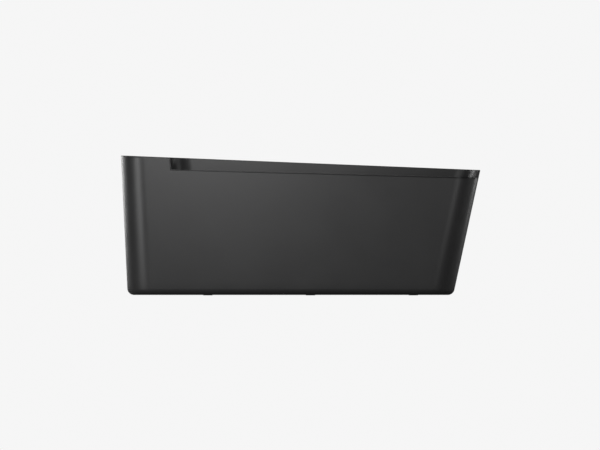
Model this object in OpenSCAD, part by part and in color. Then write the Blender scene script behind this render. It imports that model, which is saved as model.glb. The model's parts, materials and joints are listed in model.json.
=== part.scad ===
// Freestanding double-skinned bathtub with a tap ledge at one end and a lowered entry rim on one long side.
// Frame: millimetres, +Z up, X along the tub with the tap ledge at -X, entry side at -Y,
// origin on the floor below the middle of the rim.

/* [Body] */
// Length at the rim
length = 1700; // [1400:10:2100]
// Width at the rim
width = 750; // [680:10:950]
// Rim height at the tap end
tap_end_h = 662; // [600:1:760]
// Rim height at the back end
back_end_h = 593; // [540:1:660]
// Lean of the outer wall at the tap end, in degrees
tap_lean = 2.74; // [0:0.1:8]
// Lean of the outer wall at the back end, in degrees
back_lean = 12.2; // [2:0.1:16]
// Lean of the outer walls at the sides, in degrees
side_lean = 3.5; // [0:0.1:5]
// Radius of the upright outer corners
corner_r = 115; // [60:1:180]
// Radius of the outer edge at the floor
base_r = 32; // [12:1:45]
// Thickness of one acrylic skin
skin = 5; // [4:0.5:7]
// Gap between the two skins where they are bonded at the rim
bond_gap = 0.2; // [0.1:0.1:1]
// Gap between the skirt and the floor
floor_gap = 2; // [1:0.5:6]
// Width of the lip that the skirt turns in at the floor
lip_w = 48; // [40:1:70]

/* [Ledge and entry] */
// Width of the tap ledge, measured at the rim
ledge_w = 232; // [160:1:300]
// Height of the entry rim where it meets the ledge
entry_tap_h = 596; // [540:1:640]
// Height of the entry rim at the back end
entry_back_h = 557; // [500:1:590]
// Distance past the corner at which the entry rim steps up again
entry_past_corner = 16; // [5:1:60]
// Thickness of the board under the tap ledge
deck_board_t = 12; // [9:1:18]

/* [Basin] */
// Height of the basin floor
floor_z = 130; // [122:1:160]
// Lean of the basin wall below the tap ledge, in degrees
basin_tap_lean = 7; // [2:0.5:12]
// Lean of the backrest, in degrees
basin_back_lean = 24; // [18:0.5:30]
// Lean of the basin sides, in degrees
basin_side_lean = 5; // [4:0.5:9]
// Radius between the basin floor and its walls
basin_floor_r = 85; // [40:1:95]

/* [Frame and feet] */
// Thickness of the board under the basin
board_t = 15; // [12:1:22]
// Distance from the edge of the flat basin floor to the board's side
board_inset = 6; // [2:1:30]
// Outside size of the square frame tube
tube = 25; // [20:1:30]
// Wall of the frame tube
tube_wall = 2; // [1.5:0.5:3]
// Distance from the board's side to the middle of a rail
rail_inset = 35; // [30:1:60]
// Distance from a rail's end to its nearest foot
foot_inset = 22; // [20:1:40]
// How far a foot can be wound in or out
foot_travel = 12; // [6:1:12]
// Radius of a foot's threaded stud
stud_r = 5; // [4:0.5:6]
// Height of a foot's rubber pad
pad_h = 9; // [7:1:14]
// Radius of a foot's rubber pad
pad_r = 22; // [18:1:30]
// Width of an outrigger tube
outrigger = 20; // [15:1:22]

/* [Waste] */
// Distance of the waste from the start of the flat basin floor
waste_inset = 100; // [80:1:160]
// Radius of the hole in the basin floor
waste_hole_r = 26; // [25.5:0.5:28]
// Outer radius of the threaded waste sleeve
sleeve_r = 24; // [23:0.5:24.5]
// Wall of the waste sleeve
sleeve_wall = 4; // [3:0.5:5]
// Outer radius of the outlet pipe
outlet_r = 20; // [16:0.5:22]
// Height of the outlet's lower end above the floor
outlet_z = 12; // [10:1:20]
// Travel of the waste plug
plug_travel = 9; // [6:0.5:10]

/* [Overflow] */
// Height of the overflow hole's middle
overflow_z = 490; // [420:1:500]
// Radius of the overflow cover
cover_r = 36; // [34:0.5:45]
// Depth of the overflow cover
cover_t = 9; // [7:0.5:14]
// Outer radius of the overflow hose
hose_r = 14; // [13:0.5:16]
// Wall of the overflow hose
hose_wall = 2; // [1.5:0.5:2.5]
// Bend radius of the overflow hose
hose_bend_r = 60; // [45:1:75]

/* [Hidden] */
$fn = 64;
TOP = 30;            // how far the wall forms are drawn above the highest rim
FAR = 3000;          // reach of a cutting block
FIT = 0.1;           // radial clearance of a sliding or screwed fit
BLACK = [0.10, 0.10, 0.10];
STEEL = [0.62, 0.63, 0.65];
RUBBER = [0.16, 0.16, 0.17];
PIPE = [0.78, 0.78, 0.76];
HOSE = [0.62, 0.63, 0.64];
PLY = [0.62, 0.47, 0.30];
BRASS = [0.72, 0.60, 0.32];

// Rim and entry lines, as heights at a given x
rim_slope = (tap_end_h - back_end_h) / length;
function rim_z(x) = tap_end_h - (x + length / 2) * rim_slope;
ledge_x = -length / 2 + ledge_w;
ledge_z = rim_z(ledge_x);
entry_slope = (entry_tap_h - entry_back_h) / (length - ledge_w);
function entry_z(x) = entry_tap_h - (x - ledge_x) * entry_slope;
// Basin wall below the tap ledge, as x at a given height
function ledge_wall_x(z) = ledge_x + (ledge_z - z) * tan(basin_tap_lean);

// Basin form
form_top = tap_end_h + TOP;
rim_w = 2 * skin + bond_gap;
back_ref_z = rim_z(length / 2 - corner_r);
basin_leans = [basin_tap_lean, basin_back_lean, basin_side_lean];
basin_r = corner_r - rim_w;
basin_floor_round = min(basin_floor_r, basin_r - 5);
basin_lo = ledge_wall_x(form_top);
basin_hi = length / 2 - rim_w / cos(back_lean) + (back_ref_z - back_end_h) * tan(back_lean)
    + (form_top - back_ref_z) * tan(basin_back_lean);
basin_half_w = width / 2 - rim_w / cos(side_lean) - (tap_end_h - ledge_z) * tan(side_lean)
    + (form_top - ledge_z) * tan(basin_side_lean);
// Ends and half width of the flat part of the basin floor
round_drop = form_top - floor_z - basin_floor_round;
flat_lo = basin_lo + round_drop * tan(basin_tap_lean) + basin_floor_round / cos(basin_tap_lean);
flat_hi = basin_hi - round_drop * tan(basin_back_lean) - basin_floor_round / cos(basin_back_lean);
flat_half_w = basin_half_w - round_drop * tan(basin_side_lean) - basin_floor_round / cos(basin_side_lean);

// Board, rails and feet
board_top = floor_z - skin;
rail_top = board_top - board_t;
rail_z = rail_top - tube;
board_lo_inset = 8;
board_hi_inset = 12;
board_lo = flat_lo + board_lo_inset;
board_hi = flat_hi - board_hi_inset;
board_r = 30;
rail_setback = 10;
rail_lo = board_lo + rail_setback;
rail_hi = board_hi - rail_setback;
board_half_w = flat_half_w - board_inset;
rail_y = board_half_w - rail_inset;
foot_xs = [rail_lo + foot_inset, (rail_lo + rail_hi) / 2, rail_hi - foot_inset];
feet = [for (y = [-rail_y, rail_y], x = foot_xs) [x, y]];
insert_t = 1.5;
insert_len = 14;
lock_nut_h = 8;
lock_nut_r = 1.9 * stud_r;
stud_plate_r = pad_r - 4;
stud_plate_t = 5;
stud_top = board_top - 2 - foot_travel;
screw_inset = 60;
screw_xs = [for (i = [0:3]) rail_lo + screw_inset + i / 3 * (rail_hi - rail_lo - 2 * screw_inset)];
screw_r = 2.5;
outrigger_inset = 90;
outrigger_xs = [rail_lo + outrigger_inset, rail_hi - outrigger_inset];
pad_block_t = 8;
pad_block_over = 6;
pad_block_w = 40;
skirt_half_w = width / 2 - (tap_end_h - rail_z - tube / 2) * tan(side_lean) - skin / cos(side_lean);

// Waste
waste_x = flat_lo + waste_inset;
waste_bore = sleeve_r - sleeve_wall;
upper_seal_t = 1.5;
lower_seal_t = 4;
flange_t = 3;
flange_r = sleeve_r + 11;
flange_z = floor_z + upper_seal_t;
body_top = floor_z - skin - lower_seal_t;
sleeve_z = body_top - 33;
body_r = sleeve_r + 5;
body_flange_r = body_r + 5;
body_flange_t = 5;
body_z = sleeve_z - 22;
spigot_z = body_z - 16;
port_z = (sleeve_z + body_z) / 2;
port_len = 30;
board_cut_r = body_flange_r + 17;
crossbar_inset = 60;
crossbar_lo = waste_x + board_cut_r + tube;
crossbar_hi = rail_hi - crossbar_inset;
crossbar_xs = [crossbar_lo, (crossbar_lo + crossbar_hi) / 2, crossbar_hi];
washer_t = 1;
outlet_top = spigot_z - washer_t;
outlet_wall = 2.5;
outlet_collar_r = sleeve_r - 0.5;
outlet_collar_t = 3;
nut_lip = 3;
outlet_neck_r = outlet_r - 0.5;
nut_z = outlet_top - outlet_collar_t - nut_lip;
nut_top = body_z - 4;
cartridge_r = 9;
cartridge_wall = 2;
cartridge_z = sleeve_z - 12;
cartridge_top = cartridge_z + 40;
cartridge_cap = 4;
bridge_h = 5;
bridge_ring_t = 3;
spokes = 3;
spoke_w = 4;
stem_r = 4;
collar_h = 4;
collar_z = cartridge_top - cartridge_cap - collar_h - plug_travel - 5;
spring_wire_r = 0.7;
plug_seal_t = 2;
cap_z = flange_z + flange_t + plug_seal_t;
cap_r = flange_r - 3;
cap_edge = 2;

// Overflow, drawn in the plane of the ledge wall with +X down the wall and +Z into the basin
overflow_x = ledge_wall_x(overflow_z);
overflow_hole_r = 22;
chamber_r = 27;
chamber_depth = 27;
overflow_seal_t = 3;
elbow_wall = 3;
elbow_flange_r = chamber_r + 7;
spigot_wall = 2.5;
hose_bore = hose_r - hose_wall;
hose_x = overflow_x - (skin + overflow_seal_t + 15) * cos(basin_tap_lean);
hose_top = overflow_z - 44;
hose_end = waste_x - body_r - 2;
clip_t = 1.5;
clip_w = 9;
clip_inset = 16;
cover_screw_r = 2.5;
cover_screw_len = 22;
cover_screw_head_r = 5.5;
cover_screw_head_h = 2.5;
screw_boss_r = 6;
screw_boss_h = 14;
elbow_spigot = 30;
elbow_rise = 20;

// ---------- helpers ----------

// Lower half of a round-edged disc: the corner of a form at its floor
module floor_corner(r, edge_r) {
    rotate_extrude($fn = 48)
        intersection() {
            translate([r - edge_r, 0]) circle(edge_r, $fn = 48);
            translate([0, -edge_r]) square([r, edge_r]);
        }
}

// Box with leaning walls, upright corners of radius r and a rounded floor edge.
// lo, hi and half_w are its ends and half width at height top.
module leaning_box(lo, hi, half_w, top, bottom, leans, r, edge_r) {
    z = bottom + edge_r;
    drop = top - z;
    lo_f = lo + drop * tan(leans[0]) + edge_r / cos(leans[0]) + r - edge_r;
    hi_f = hi - drop * tan(leans[1]) - edge_r / cos(leans[1]) - r + edge_r;
    y_f = half_w - drop * tan(leans[2]) - edge_r / cos(leans[2]) - r + edge_r;
    hull()
        for (side = [-1, 1]) {
            for (x = [lo + r, hi - r])
                translate([x, side * (half_w - r), top]) cylinder(r = r, h = 1, $fn = 48);
            for (x = [lo_f, hi_f])
                translate([x, side * y_f, z]) floor_corner(r, edge_r);
        }
}

// Outer form of the tub, drawn in by t
module outer_form(t = 0) {
    leaning_box(
        -length / 2 - TOP * tan(tap_lean) + t / cos(tap_lean),
        length / 2 + (form_top - back_end_h) * tan(back_lean) - t / cos(back_lean),
        width / 2 + TOP * tan(side_lean) - t / cos(side_lean),
        form_top, floor_gap + t, [tap_lean, back_lean, side_lean], corner_r - t, base_r - t
    );
}

// Water space of the basin, drawn out by t
module basin_form(t = 0) {
    leaning_box(
        basin_lo - t / cos(basin_tap_lean), basin_hi + t / cos(basin_back_lean),
        basin_half_w + t / cos(basin_side_lean),
        form_top, floor_z - t, basin_leans, basin_r + t, basin_floor_round + t
    );
}

// Everything above the rim, with the rim lowered by t
module above_rim(t = 0) {
    rotate([90, 0, 0])
        linear_extrude(FAR, center = true)
            polygon([[-length, rim_z(-length) - t], [length, rim_z(length) - t],
                     [length, FAR], [-length, FAR]]);
    entry_cut(t);
}

// Space cut out of the entry side, grown by t. Its end at the ledge is the basin's own wall plane,
// and its other end crosses the back wall just past the corner.
module entry_cut(t = 0) {
    slant = tan(basin_tap_lean);
    grown = t / cos(basin_tap_lean);
    low_x = ledge_wall_x(entry_tap_h) - grown;
    end_y = -width / 2 + corner_r + entry_past_corner;
    intersection() {
        rotate([90, 0, 0])
            linear_extrude(FAR, center = true)
                polygon([[low_x, entry_z(low_x) - t], [length, entry_z(length) - t],
                         [length, FAR], [ledge_wall_x(FAR) - grown, FAR]]);
        rotate([90, 0, 90])
            linear_extrude(FAR, center = true)
                polygon([[-FAR, 0], [end_y - back_end_h * slant + grown, 0],
                         [end_y + (FAR - back_end_h) * slant + grown, FAR], [-FAR, FAR]]);
    }
}

module ring(outer, inner, h) {
    difference() {
        cylinder(r = outer, h = h);
        translate([0, 0, -1]) cylinder(r = inner, h = h + 2);
    }
}

module at_feet() {
    for (p = feet) translate([p[0], p[1], 0]) children();
}

module at_waste(z = 0) {
    translate([waste_x, 0, z]) children();
}

module at_overflow() {
    translate([overflow_x, 0, overflow_z]) rotate([0, 90 - basin_tap_lean, 0]) children();
}

// ---------- skins and boards ----------

module outer_skirt() {
    color(BLACK)
    difference() {
        outer_form();
        outer_form(skin);
        above_rim(skin);
        skirt_opening();
    }
}

// Opening inside the skirt's lip at the floor
module skirt_opening() {
    z = floor_gap;
    lo = -length / 2 + (tap_end_h - z) * tan(tap_lean) + lip_w;
    hi = length / 2 - (back_end_h - z) * tan(back_lean) - lip_w;
    half_w = width / 2 - (tap_end_h - z) * tan(side_lean) - lip_w;
    r = corner_r - lip_w;
    translate([0, 0, -1])
        linear_extrude(z + skin + 2)
            hull()
                for (x = [lo + r, hi - r], y = [r - half_w, half_w - r])
                    translate([x, y]) circle(r);
}

module inner_basin() {
    color(BLACK)
    difference() {
        union() {
            intersection() {
                outer_form();
                above_rim(skin);
            }
            basin_form(skin);
        }
        basin_form();
        above_rim();
        at_waste(floor_z - skin - 1) cylinder(r = waste_hole_r, h = skin + 2);
        at_overflow() translate([0, 0, -skin - 1]) cylinder(r = overflow_hole_r, h = skin + 2);
    }
}

// Plywood under the ledge, for deck-mounted taps to clamp to
module tap_deck_board() {
    lo = -length / 2 + 48;
    hi = ledge_x - 22;
    wide = width - 2 * corner_r + 60;
    x = (lo + hi) / 2;
    color(PLY)
        translate([x, 0, rim_z(x) - skin])
            rotate([0, atan(rim_slope), 0])
                translate([0, 0, -deck_board_t / 2])
                    cube([hi - lo, wide, deck_board_t], center = true);
}

module base_board() {
    color(PLY)
    difference() {
        translate([0, 0, rail_top])
            linear_extrude(board_t)
                hull()
                    for (x = [board_lo + board_r, board_hi - board_r], side = [-1, 1])
                        translate([x, side * (board_half_w - board_r)]) circle(board_r);
        at_waste(rail_top - 1) cylinder(r = board_cut_r, h = board_t + 2);
        at_feet() translate([0, 0, rail_top - 1]) cylinder(r = stud_r + 3, h = board_t + 2);
        at_frame_screws() cylinder(r = screw_r + FIT, h = tube + board_t);
    }
}

// ---------- frame ----------

module square_tube(size, len, wall) {
    difference() {
        translate([-len / 2, -size / 2, -size / 2]) cube([len, size, size]);
        translate([-len / 2 - 1, -size / 2 + wall, -size / 2 + wall])
            cube([len + 2, size - 2 * wall, size - 2 * wall]);
    }
}

module rail(y) {
    color(STEEL)
    difference() {
        translate([(rail_lo + rail_hi) / 2, y, rail_z + tube / 2])
            square_tube(tube, rail_hi - rail_lo, tube_wall);
        at_feet() {
            translate([0, 0, rail_z - 1]) cylinder(r = stud_r + 2, h = tube_wall + 2);
            translate([0, 0, rail_top - tube_wall - 1]) cylinder(r = stud_r + 1, h = tube_wall + 2);
        }
        at_frame_screws() cylinder(r = screw_r + FIT, h = tube + board_t);
    }
}

module crossbar(x) {
    len = 2 * rail_y - tube;
    color(STEEL)
        translate([x, 0, rail_z + tube / 2]) rotate([0, 0, 90]) square_tube(tube, len, tube_wall);
}

// Runs from the underside of each rail up into the board
module at_frame_screws() {
    for (y = [-rail_y, rail_y], x = screw_xs)
        translate([x, y, rail_z]) children();
}

module frame_screws() {
    color(STEEL)
        at_frame_screws() {
            cylinder(r = screw_r, h = tube + board_t - 3);
            translate([0, 0, -screw_r]) cylinder(r = 2 * screw_r, h = screw_r);
        }
}

// Short tubes that reach from the rails to the skirt
module outriggers() {
    reach = skirt_half_w - rail_y - tube / 2 - pad_block_t;
    color(STEEL)
        for (side = [-1, 1], x = outrigger_xs)
            translate([x, side * (rail_y + tube / 2 + reach / 2), rail_z + tube / 2])
                rotate([0, 0, 90]) square_tube(outrigger, reach, tube_wall);
}

// Blocks bonded between the outriggers and the skirt, cut to its lean
module skirt_pads() {
    start = skirt_half_w - pad_block_t;
    half = outrigger / 2 + pad_block_over;
    lean = half * tan(side_lean);
    color(PLY)
        for (side = [-1, 1], x = outrigger_xs)
            translate([x, 0, rail_z + tube / 2])
                rotate([90, 0, side > 0 ? 90 : -90])
                    linear_extrude(pad_block_w, center = true)
                        polygon([[start, -half], [skirt_half_w - lean - bond_gap, -half],
                                 [skirt_half_w + lean - bond_gap, half], [start, half]]);
}

// Threaded inserts pressed into the underside of the rails
module foot_inserts() {
    color(BRASS)
        at_feet()
            difference() {
                union() {
                    translate([0, 0, rail_z - insert_t]) cylinder(r = stud_r + 4, h = insert_t);
                    translate([0, 0, rail_z]) cylinder(r = stud_r + 2 - FIT, h = insert_len);
                }
                translate([0, 0, rail_z - insert_t - 1])
                    cylinder(r = stud_r + FIT, h = insert_t + insert_len + 2);
            }
}

module foot_lock_nuts() {
    color(STEEL)
        at_feet()
            translate([0, 0, rail_z - insert_t - lock_nut_h])
                difference() {
                    cylinder(r = lock_nut_r, h = lock_nut_h, $fn = 6);
                    translate([0, 0, -1]) cylinder(r = stud_r + FIT, h = lock_nut_h + 2);
                }
}

module foot_stud(n) {
    p = feet[n - 1];
    color(STEEL)
        translate([p[0], p[1], 0]) {
            translate([0, 0, pad_h - stud_plate_t]) cylinder(r = stud_plate_r, h = stud_plate_t);
            translate([0, 0, pad_h]) cylinder(r = stud_r, h = stud_top - pad_h);
        }
}

module foot_pad(n) {
    p = feet[n - 1];
    color(RUBBER)
        translate([p[0], p[1], 0])
            difference() {
                cylinder(r = pad_r, h = pad_h);
                translate([0, 0, pad_h - stud_plate_t]) cylinder(r = stud_plate_r, h = stud_plate_t + 1);
            }
}

// ---------- waste ----------

module waste_flange() {
    color(BLACK)
    at_waste() {
        difference() {
            union() {
                translate([0, 0, flange_z]) cylinder(r = flange_r, h = flange_t);
                translate([0, 0, sleeve_z]) cylinder(r = sleeve_r, h = flange_z - sleeve_z + 1);
            }
            translate([0, 0, sleeve_z - 1])
                cylinder(r = waste_bore, h = flange_z + flange_t - sleeve_z + 2);
        }
        waste_bridge();
    }
}

// Three spokes that hold the plug cartridge in the middle of the sleeve
module waste_bridge() {
    ring_r = cartridge_r + bridge_ring_t;
    translate([0, 0, cartridge_top - bridge_h]) {
        ring(ring_r, cartridge_r + FIT, bridge_h);
        for (i = [0:spokes - 1])
            rotate([0, 0, (i + 0.5) * 360 / spokes])
                translate([ring_r - 0.5, -spoke_w / 2, 0])
                    cube([waste_bore + 1 - ring_r, spoke_w, bridge_h]);
    }
}

module waste_upper_seal() {
    color(RUBBER) at_waste(floor_z) ring(flange_r - 2, sleeve_r + FIT, upper_seal_t);
}

module waste_lower_seal() {
    color(RUBBER) at_waste(body_top) ring(body_flange_r, sleeve_r + FIT, lower_seal_t);
}

module waste_body() {
    color(PIPE)
    at_waste()
        difference() {
            union() {
                translate([0, 0, body_top - body_flange_t])
                    cylinder(r = body_flange_r, h = body_flange_t);
                translate([0, 0, body_z]) cylinder(r = body_r, h = body_top - body_z);
                translate([0, 0, spigot_z]) cylinder(r = sleeve_r, h = body_z - spigot_z + 1);
                translate([-body_r - port_len, 0, port_z]) rotate([0, 90, 0])
                    cylinder(r = hose_bore - FIT, h = port_len + 8);
            }
            translate([0, 0, sleeve_z]) cylinder(r = sleeve_r + FIT, h = body_top - sleeve_z + 1);
            translate([0, 0, spigot_z - 1]) cylinder(r = waste_bore, h = sleeve_z - spigot_z + 2);
            translate([-body_r - port_len - 1, 0, port_z]) rotate([0, 90, 0])
                cylinder(r = hose_bore - spigot_wall, h = port_len + 12);
        }
}

module outlet_pipe() {
    color(PIPE)
    at_waste()
        difference() {
            union() {
                translate([0, 0, outlet_z]) cylinder(r = outlet_r, h = nut_z - 1 - outlet_z);
                translate([0, 0, nut_z - 1.5]) cylinder(r = outlet_neck_r, h = outlet_top - nut_z + 1.5);
                translate([0, 0, outlet_top - outlet_collar_t])
                    cylinder(r = outlet_collar_r, h = outlet_collar_t);
            }
            translate([0, 0, outlet_z - 1])
                cylinder(r = outlet_r - outlet_wall, h = outlet_top - outlet_z + 2);
        }
}

module outlet_washer() {
    color(RUBBER) at_waste(outlet_top) ring(outlet_collar_r, waste_bore, washer_t);
}

module outlet_nut() {
    color(PIPE)
    at_waste(nut_z)
        difference() {
            cylinder(r = sleeve_r + 7, h = nut_top - nut_z, $fn = 8);
            translate([0, 0, nut_lip]) cylinder(r = sleeve_r + FIT, h = nut_top - nut_z);
            translate([0, 0, -1]) cylinder(r = outlet_r + FIT, h = nut_lip + 2);
        }
}

module plug_cap() {
    color(BLACK)
        at_waste(cap_z)
            rotate_extrude()
                polygon([[0, 0], [cap_r - 1, 0], [cap_r, 1], [cap_r, cap_edge + 1],
                         [cap_r - cap_edge, cap_edge + 2], [cap_r / 2, cap_edge + 3], [0, cap_edge + 3.5]]);
}

module plug_seal() {
    color(RUBBER) at_waste(cap_z - plug_seal_t) ring(cap_r - 3, waste_bore + 1, plug_seal_t);
}

module plug_stem() {
    color(BRASS)
        at_waste() {
            translate([0, 0, collar_z]) cylinder(r = stem_r, h = cap_z - collar_z);
            translate([0, 0, collar_z])
                cylinder(r = cartridge_r - cartridge_wall - FIT, h = collar_h);
        }
}

module plug_cartridge() {
    h = cartridge_top - cartridge_z;
    color(PIPE)
    at_waste(cartridge_z)
        difference() {
            cylinder(r = cartridge_r, h = h);
            translate([0, 0, cartridge_wall])
                cylinder(r = cartridge_r - cartridge_wall, h = h - cartridge_wall - cartridge_cap);
            translate([0, 0, h - cartridge_cap - 1]) cylinder(r = stem_r + FIT, h = cartridge_cap + 2);
        }
}

// Coil of round wire with flat-lying ends, swept round the stem's axis
module plug_spring() {
    wire_r = spring_wire_r;
    coil_r = cartridge_r - cartridge_wall - wire_r - 0.4;
    turns = 5;
    per_turn = 16;
    sides = 8;
    low = cartridge_z + cartridge_wall + wire_r + 0.05;
    rise = collar_z - wire_r - 0.05 - low;
    steps = turns * per_turn;
    points = [for (i = [0:steps], j = [0:sides - 1])
        let (turn = i / per_turn * 360, side = j / sides * 360, r = coil_r + wire_r * cos(side))
            [r * cos(turn), r * sin(turn), low + rise * i / steps + wire_r * sin(side)]];
    walls = [for (i = [0:steps - 1], j = [0:sides - 1])
        let (a = i * sides + j, b = i * sides + (j + 1) % sides)
            [a, b, b + sides, a + sides]];
    caps = [[for (j = [sides - 1:-1:0]) j], [for (j = [0:sides - 1]) steps * sides + j]];
    color(STEEL) at_waste() polyhedron(points, concat(walls, caps));
}

// ---------- overflow ----------

module overflow_cover() {
    slot_w = 44;
    slot_h = 10;
    slot_drop = 8;
    face_t = 3;
    color(BLACK)
    at_overflow()
        difference() {
            cylinder(r = cover_r, h = cover_t);
            translate([0, 0, -1]) cylinder(r = overflow_hole_r + 3, h = cover_t - face_t + 1);
            translate([slot_drop, -slot_w / 2, -1]) cube([slot_h, slot_w, cover_t + 2]);
            translate([0, 0, -1]) cylinder(r = cover_screw_r + FIT, h = cover_t + 2);
        }
}

module overflow_screw() {
    color(BLACK)
        at_overflow() {
            translate([0, 0, -skin - cover_screw_len])
                cylinder(r = cover_screw_r, h = skin + cover_screw_len + cover_t);
            translate([0, 0, cover_t]) cylinder(r = cover_screw_head_r, h = cover_screw_head_h);
        }
}

module overflow_seal() {
    color(RUBBER)
        at_overflow()
            translate([0, 0, -skin - overflow_seal_t])
                ring(elbow_flange_r - 1, overflow_hole_r + 1, overflow_seal_t);
}

module overflow_elbow() {
    back = -skin - overflow_seal_t - chamber_depth;
    color(PIPE)
    difference() {
        union() {
            at_overflow() {
                translate([0, 0, -skin - overflow_seal_t - elbow_wall])
                    cylinder(r = elbow_flange_r, h = elbow_wall);
                translate([0, 0, back]) cylinder(r = chamber_r, h = chamber_depth);
            }
            translate([hose_x, 0, hose_top - elbow_spigot])
                cylinder(r = hose_bore - FIT, h = elbow_spigot + elbow_rise);
        }
        at_overflow()
            difference() {
                translate([0, 0, back + elbow_wall])
                    cylinder(r = chamber_r - elbow_wall, h = chamber_depth);
                translate([0, 0, back]) cylinder(r = screw_boss_r, h = screw_boss_h);
            }
        at_overflow() translate([0, 0, back + elbow_wall + 1])
            cylinder(r = cover_screw_r + FIT, h = chamber_depth);
        translate([hose_x, 0, hose_top - elbow_spigot - 1])
            cylinder(r = hose_bore - spigot_wall, h = elbow_spigot + elbow_rise + 10);
    }
}

// Route of the hose: down from the elbow, round one bend and along to the waste body
module hose_route(r) {
    z = port_z + hose_bend_r;
    translate([hose_x, 0, z]) cylinder(r = r, h = hose_top - 2 - z);
    translate([hose_x + hose_bend_r, 0, z]) rotate([90, 0, 0])
        rotate([0, 0, 180]) rotate_extrude(angle = 90) translate([hose_bend_r, 0]) circle(r);
    translate([hose_x + hose_bend_r, 0, port_z]) rotate([0, 90, 0])
        cylinder(r = r, h = hose_end - hose_x - hose_bend_r);
}

module overflow_hose() {
    color(HOSE)
    difference() {
        hose_route(hose_r);
        hose_route(hose_bore);
        translate([hose_x, 0, hose_top - 3]) cylinder(r = hose_bore, h = 3);
        translate([hose_end - 1, 0, port_z]) rotate([0, 90, 0]) cylinder(r = hose_bore, h = 3);
    }
}

module hose_clip_upper() {
    color(STEEL)
        translate([hose_x, 0, hose_top - clip_inset]) ring(hose_r + clip_t, hose_r + FIT / 2, clip_w);
}

module hose_clip_lower() {
    color(STEEL)
        translate([hose_end - clip_inset, 0, port_z]) rotate([0, 90, 0])
            ring(hose_r + clip_t, hose_r + FIT / 2, clip_w);
}

// ---------- nodes ----------

outer_skirt();
inner_basin();
tap_deck_board();
base_board();
rail(-rail_y);  // rail_entry_side
rail(rail_y);  // rail_wall_side
for (i = [1:3]) crossbar(crossbar_xs[i - 1]);
frame_screws();
outriggers();
skirt_pads();
foot_inserts();
foot_lock_nuts();
for (n = [1:6]) foot_stud(n);
for (n = [1:6]) foot_pad(n);
waste_flange();
waste_upper_seal();
waste_lower_seal();
waste_body();
outlet_pipe();
outlet_washer();
outlet_nut();
plug_cap();
plug_seal();
plug_stem();
plug_cartridge();
plug_spring();
overflow_cover();
overflow_screw();
overflow_seal();
overflow_elbow();
overflow_hose();
hose_clip_upper();
hose_clip_lower();
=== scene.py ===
"""Freestanding bathtub: its two skins, waste, feet, materials and studio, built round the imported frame.

Every length is in metres. X runs along the tub from the tap ledge to the backrest, the entry rim is at -Y.
"""

import json
import math

import bmesh
import bpy
import numpy as np
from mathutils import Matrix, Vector


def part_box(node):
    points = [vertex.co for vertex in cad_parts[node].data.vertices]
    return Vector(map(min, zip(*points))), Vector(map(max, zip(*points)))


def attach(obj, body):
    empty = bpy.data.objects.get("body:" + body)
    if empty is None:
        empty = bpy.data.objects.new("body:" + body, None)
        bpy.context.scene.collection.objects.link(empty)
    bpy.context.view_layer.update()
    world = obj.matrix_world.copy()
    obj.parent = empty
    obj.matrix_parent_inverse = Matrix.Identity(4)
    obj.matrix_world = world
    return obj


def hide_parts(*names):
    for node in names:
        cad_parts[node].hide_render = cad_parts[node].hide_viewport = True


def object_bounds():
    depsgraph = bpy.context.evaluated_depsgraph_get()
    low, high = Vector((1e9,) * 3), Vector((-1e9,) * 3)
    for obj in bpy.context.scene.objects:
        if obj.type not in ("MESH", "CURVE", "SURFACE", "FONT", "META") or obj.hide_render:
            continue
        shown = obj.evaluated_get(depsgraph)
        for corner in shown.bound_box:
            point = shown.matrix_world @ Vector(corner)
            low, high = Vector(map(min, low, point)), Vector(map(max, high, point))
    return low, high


bl_info = {
    "name": "Freestanding bathtub",
    "version": (1, 0, 0),
    "blender": (4, 5, 0),
    "location": "View3D > Sidebar > Bathtub",
    "description": "Builds a double-skinned bathtub with a tap ledge and a lowered entry rim",
    "category": "Add Mesh",
}

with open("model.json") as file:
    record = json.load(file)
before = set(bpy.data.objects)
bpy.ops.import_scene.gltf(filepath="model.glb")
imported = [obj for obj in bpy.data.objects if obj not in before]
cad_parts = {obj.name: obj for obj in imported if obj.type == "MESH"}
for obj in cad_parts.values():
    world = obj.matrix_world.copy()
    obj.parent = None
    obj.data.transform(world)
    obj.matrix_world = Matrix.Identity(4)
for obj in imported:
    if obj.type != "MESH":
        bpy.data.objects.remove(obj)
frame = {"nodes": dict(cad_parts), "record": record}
CAD_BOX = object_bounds()
TUB = "tub"
PLUG = "waste_plug"


# ---------- sizes ----------

BASIN_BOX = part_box("inner_basin")
SKIRT_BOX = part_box("outer_skirt")
BOARD_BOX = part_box("base_board")
FLANGE_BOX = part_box("waste_flange")
CAP_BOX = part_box("plug_cap")
HOSE_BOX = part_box("overflow_hose")
FOOT_COUNT = 6

FORM_RISE = 0.030       # the leaning forms are drawn this far above the highest rim
HOLE_R = 0.026          # hole in the basin floor
PAINTED_RIM_SHADE = 0.15           # how much of the coat's colour is left in the painted shade line along the entry rim's edge
STEP_TURN = 0.200       # distance from the middle at which the ledge's edge starts to turn into the step
STEP_STRIDE = 0.0015    # distance between the lines that turn down off the step's face
ON_STEP = 0.001         # added to a line's lap so that a line on the step is told from one off it
ARC_STEPS = 7
RAMP_STEPS = 12
CORNER_STEPS = 33


def length(name, default, description):
    """A length the user may change, in metres."""
    return bpy.props.FloatProperty(
        name=name, default=default, description=description, subtype="DISTANCE", unit="LENGTH", precision=4
    )


def angle(name, degrees, description):
    """An angle the user may change."""
    return bpy.props.FloatProperty(
        name=name, default=math.radians(degrees), description=description, subtype="ANGLE", unit="ROTATION"
    )


def paint(name, colour, description):
    """A colour the user may change."""
    return bpy.props.FloatVectorProperty(
        name=name, default=colour, description=description, subtype="COLOR", size=3, min=0, max=1
    )


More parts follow.
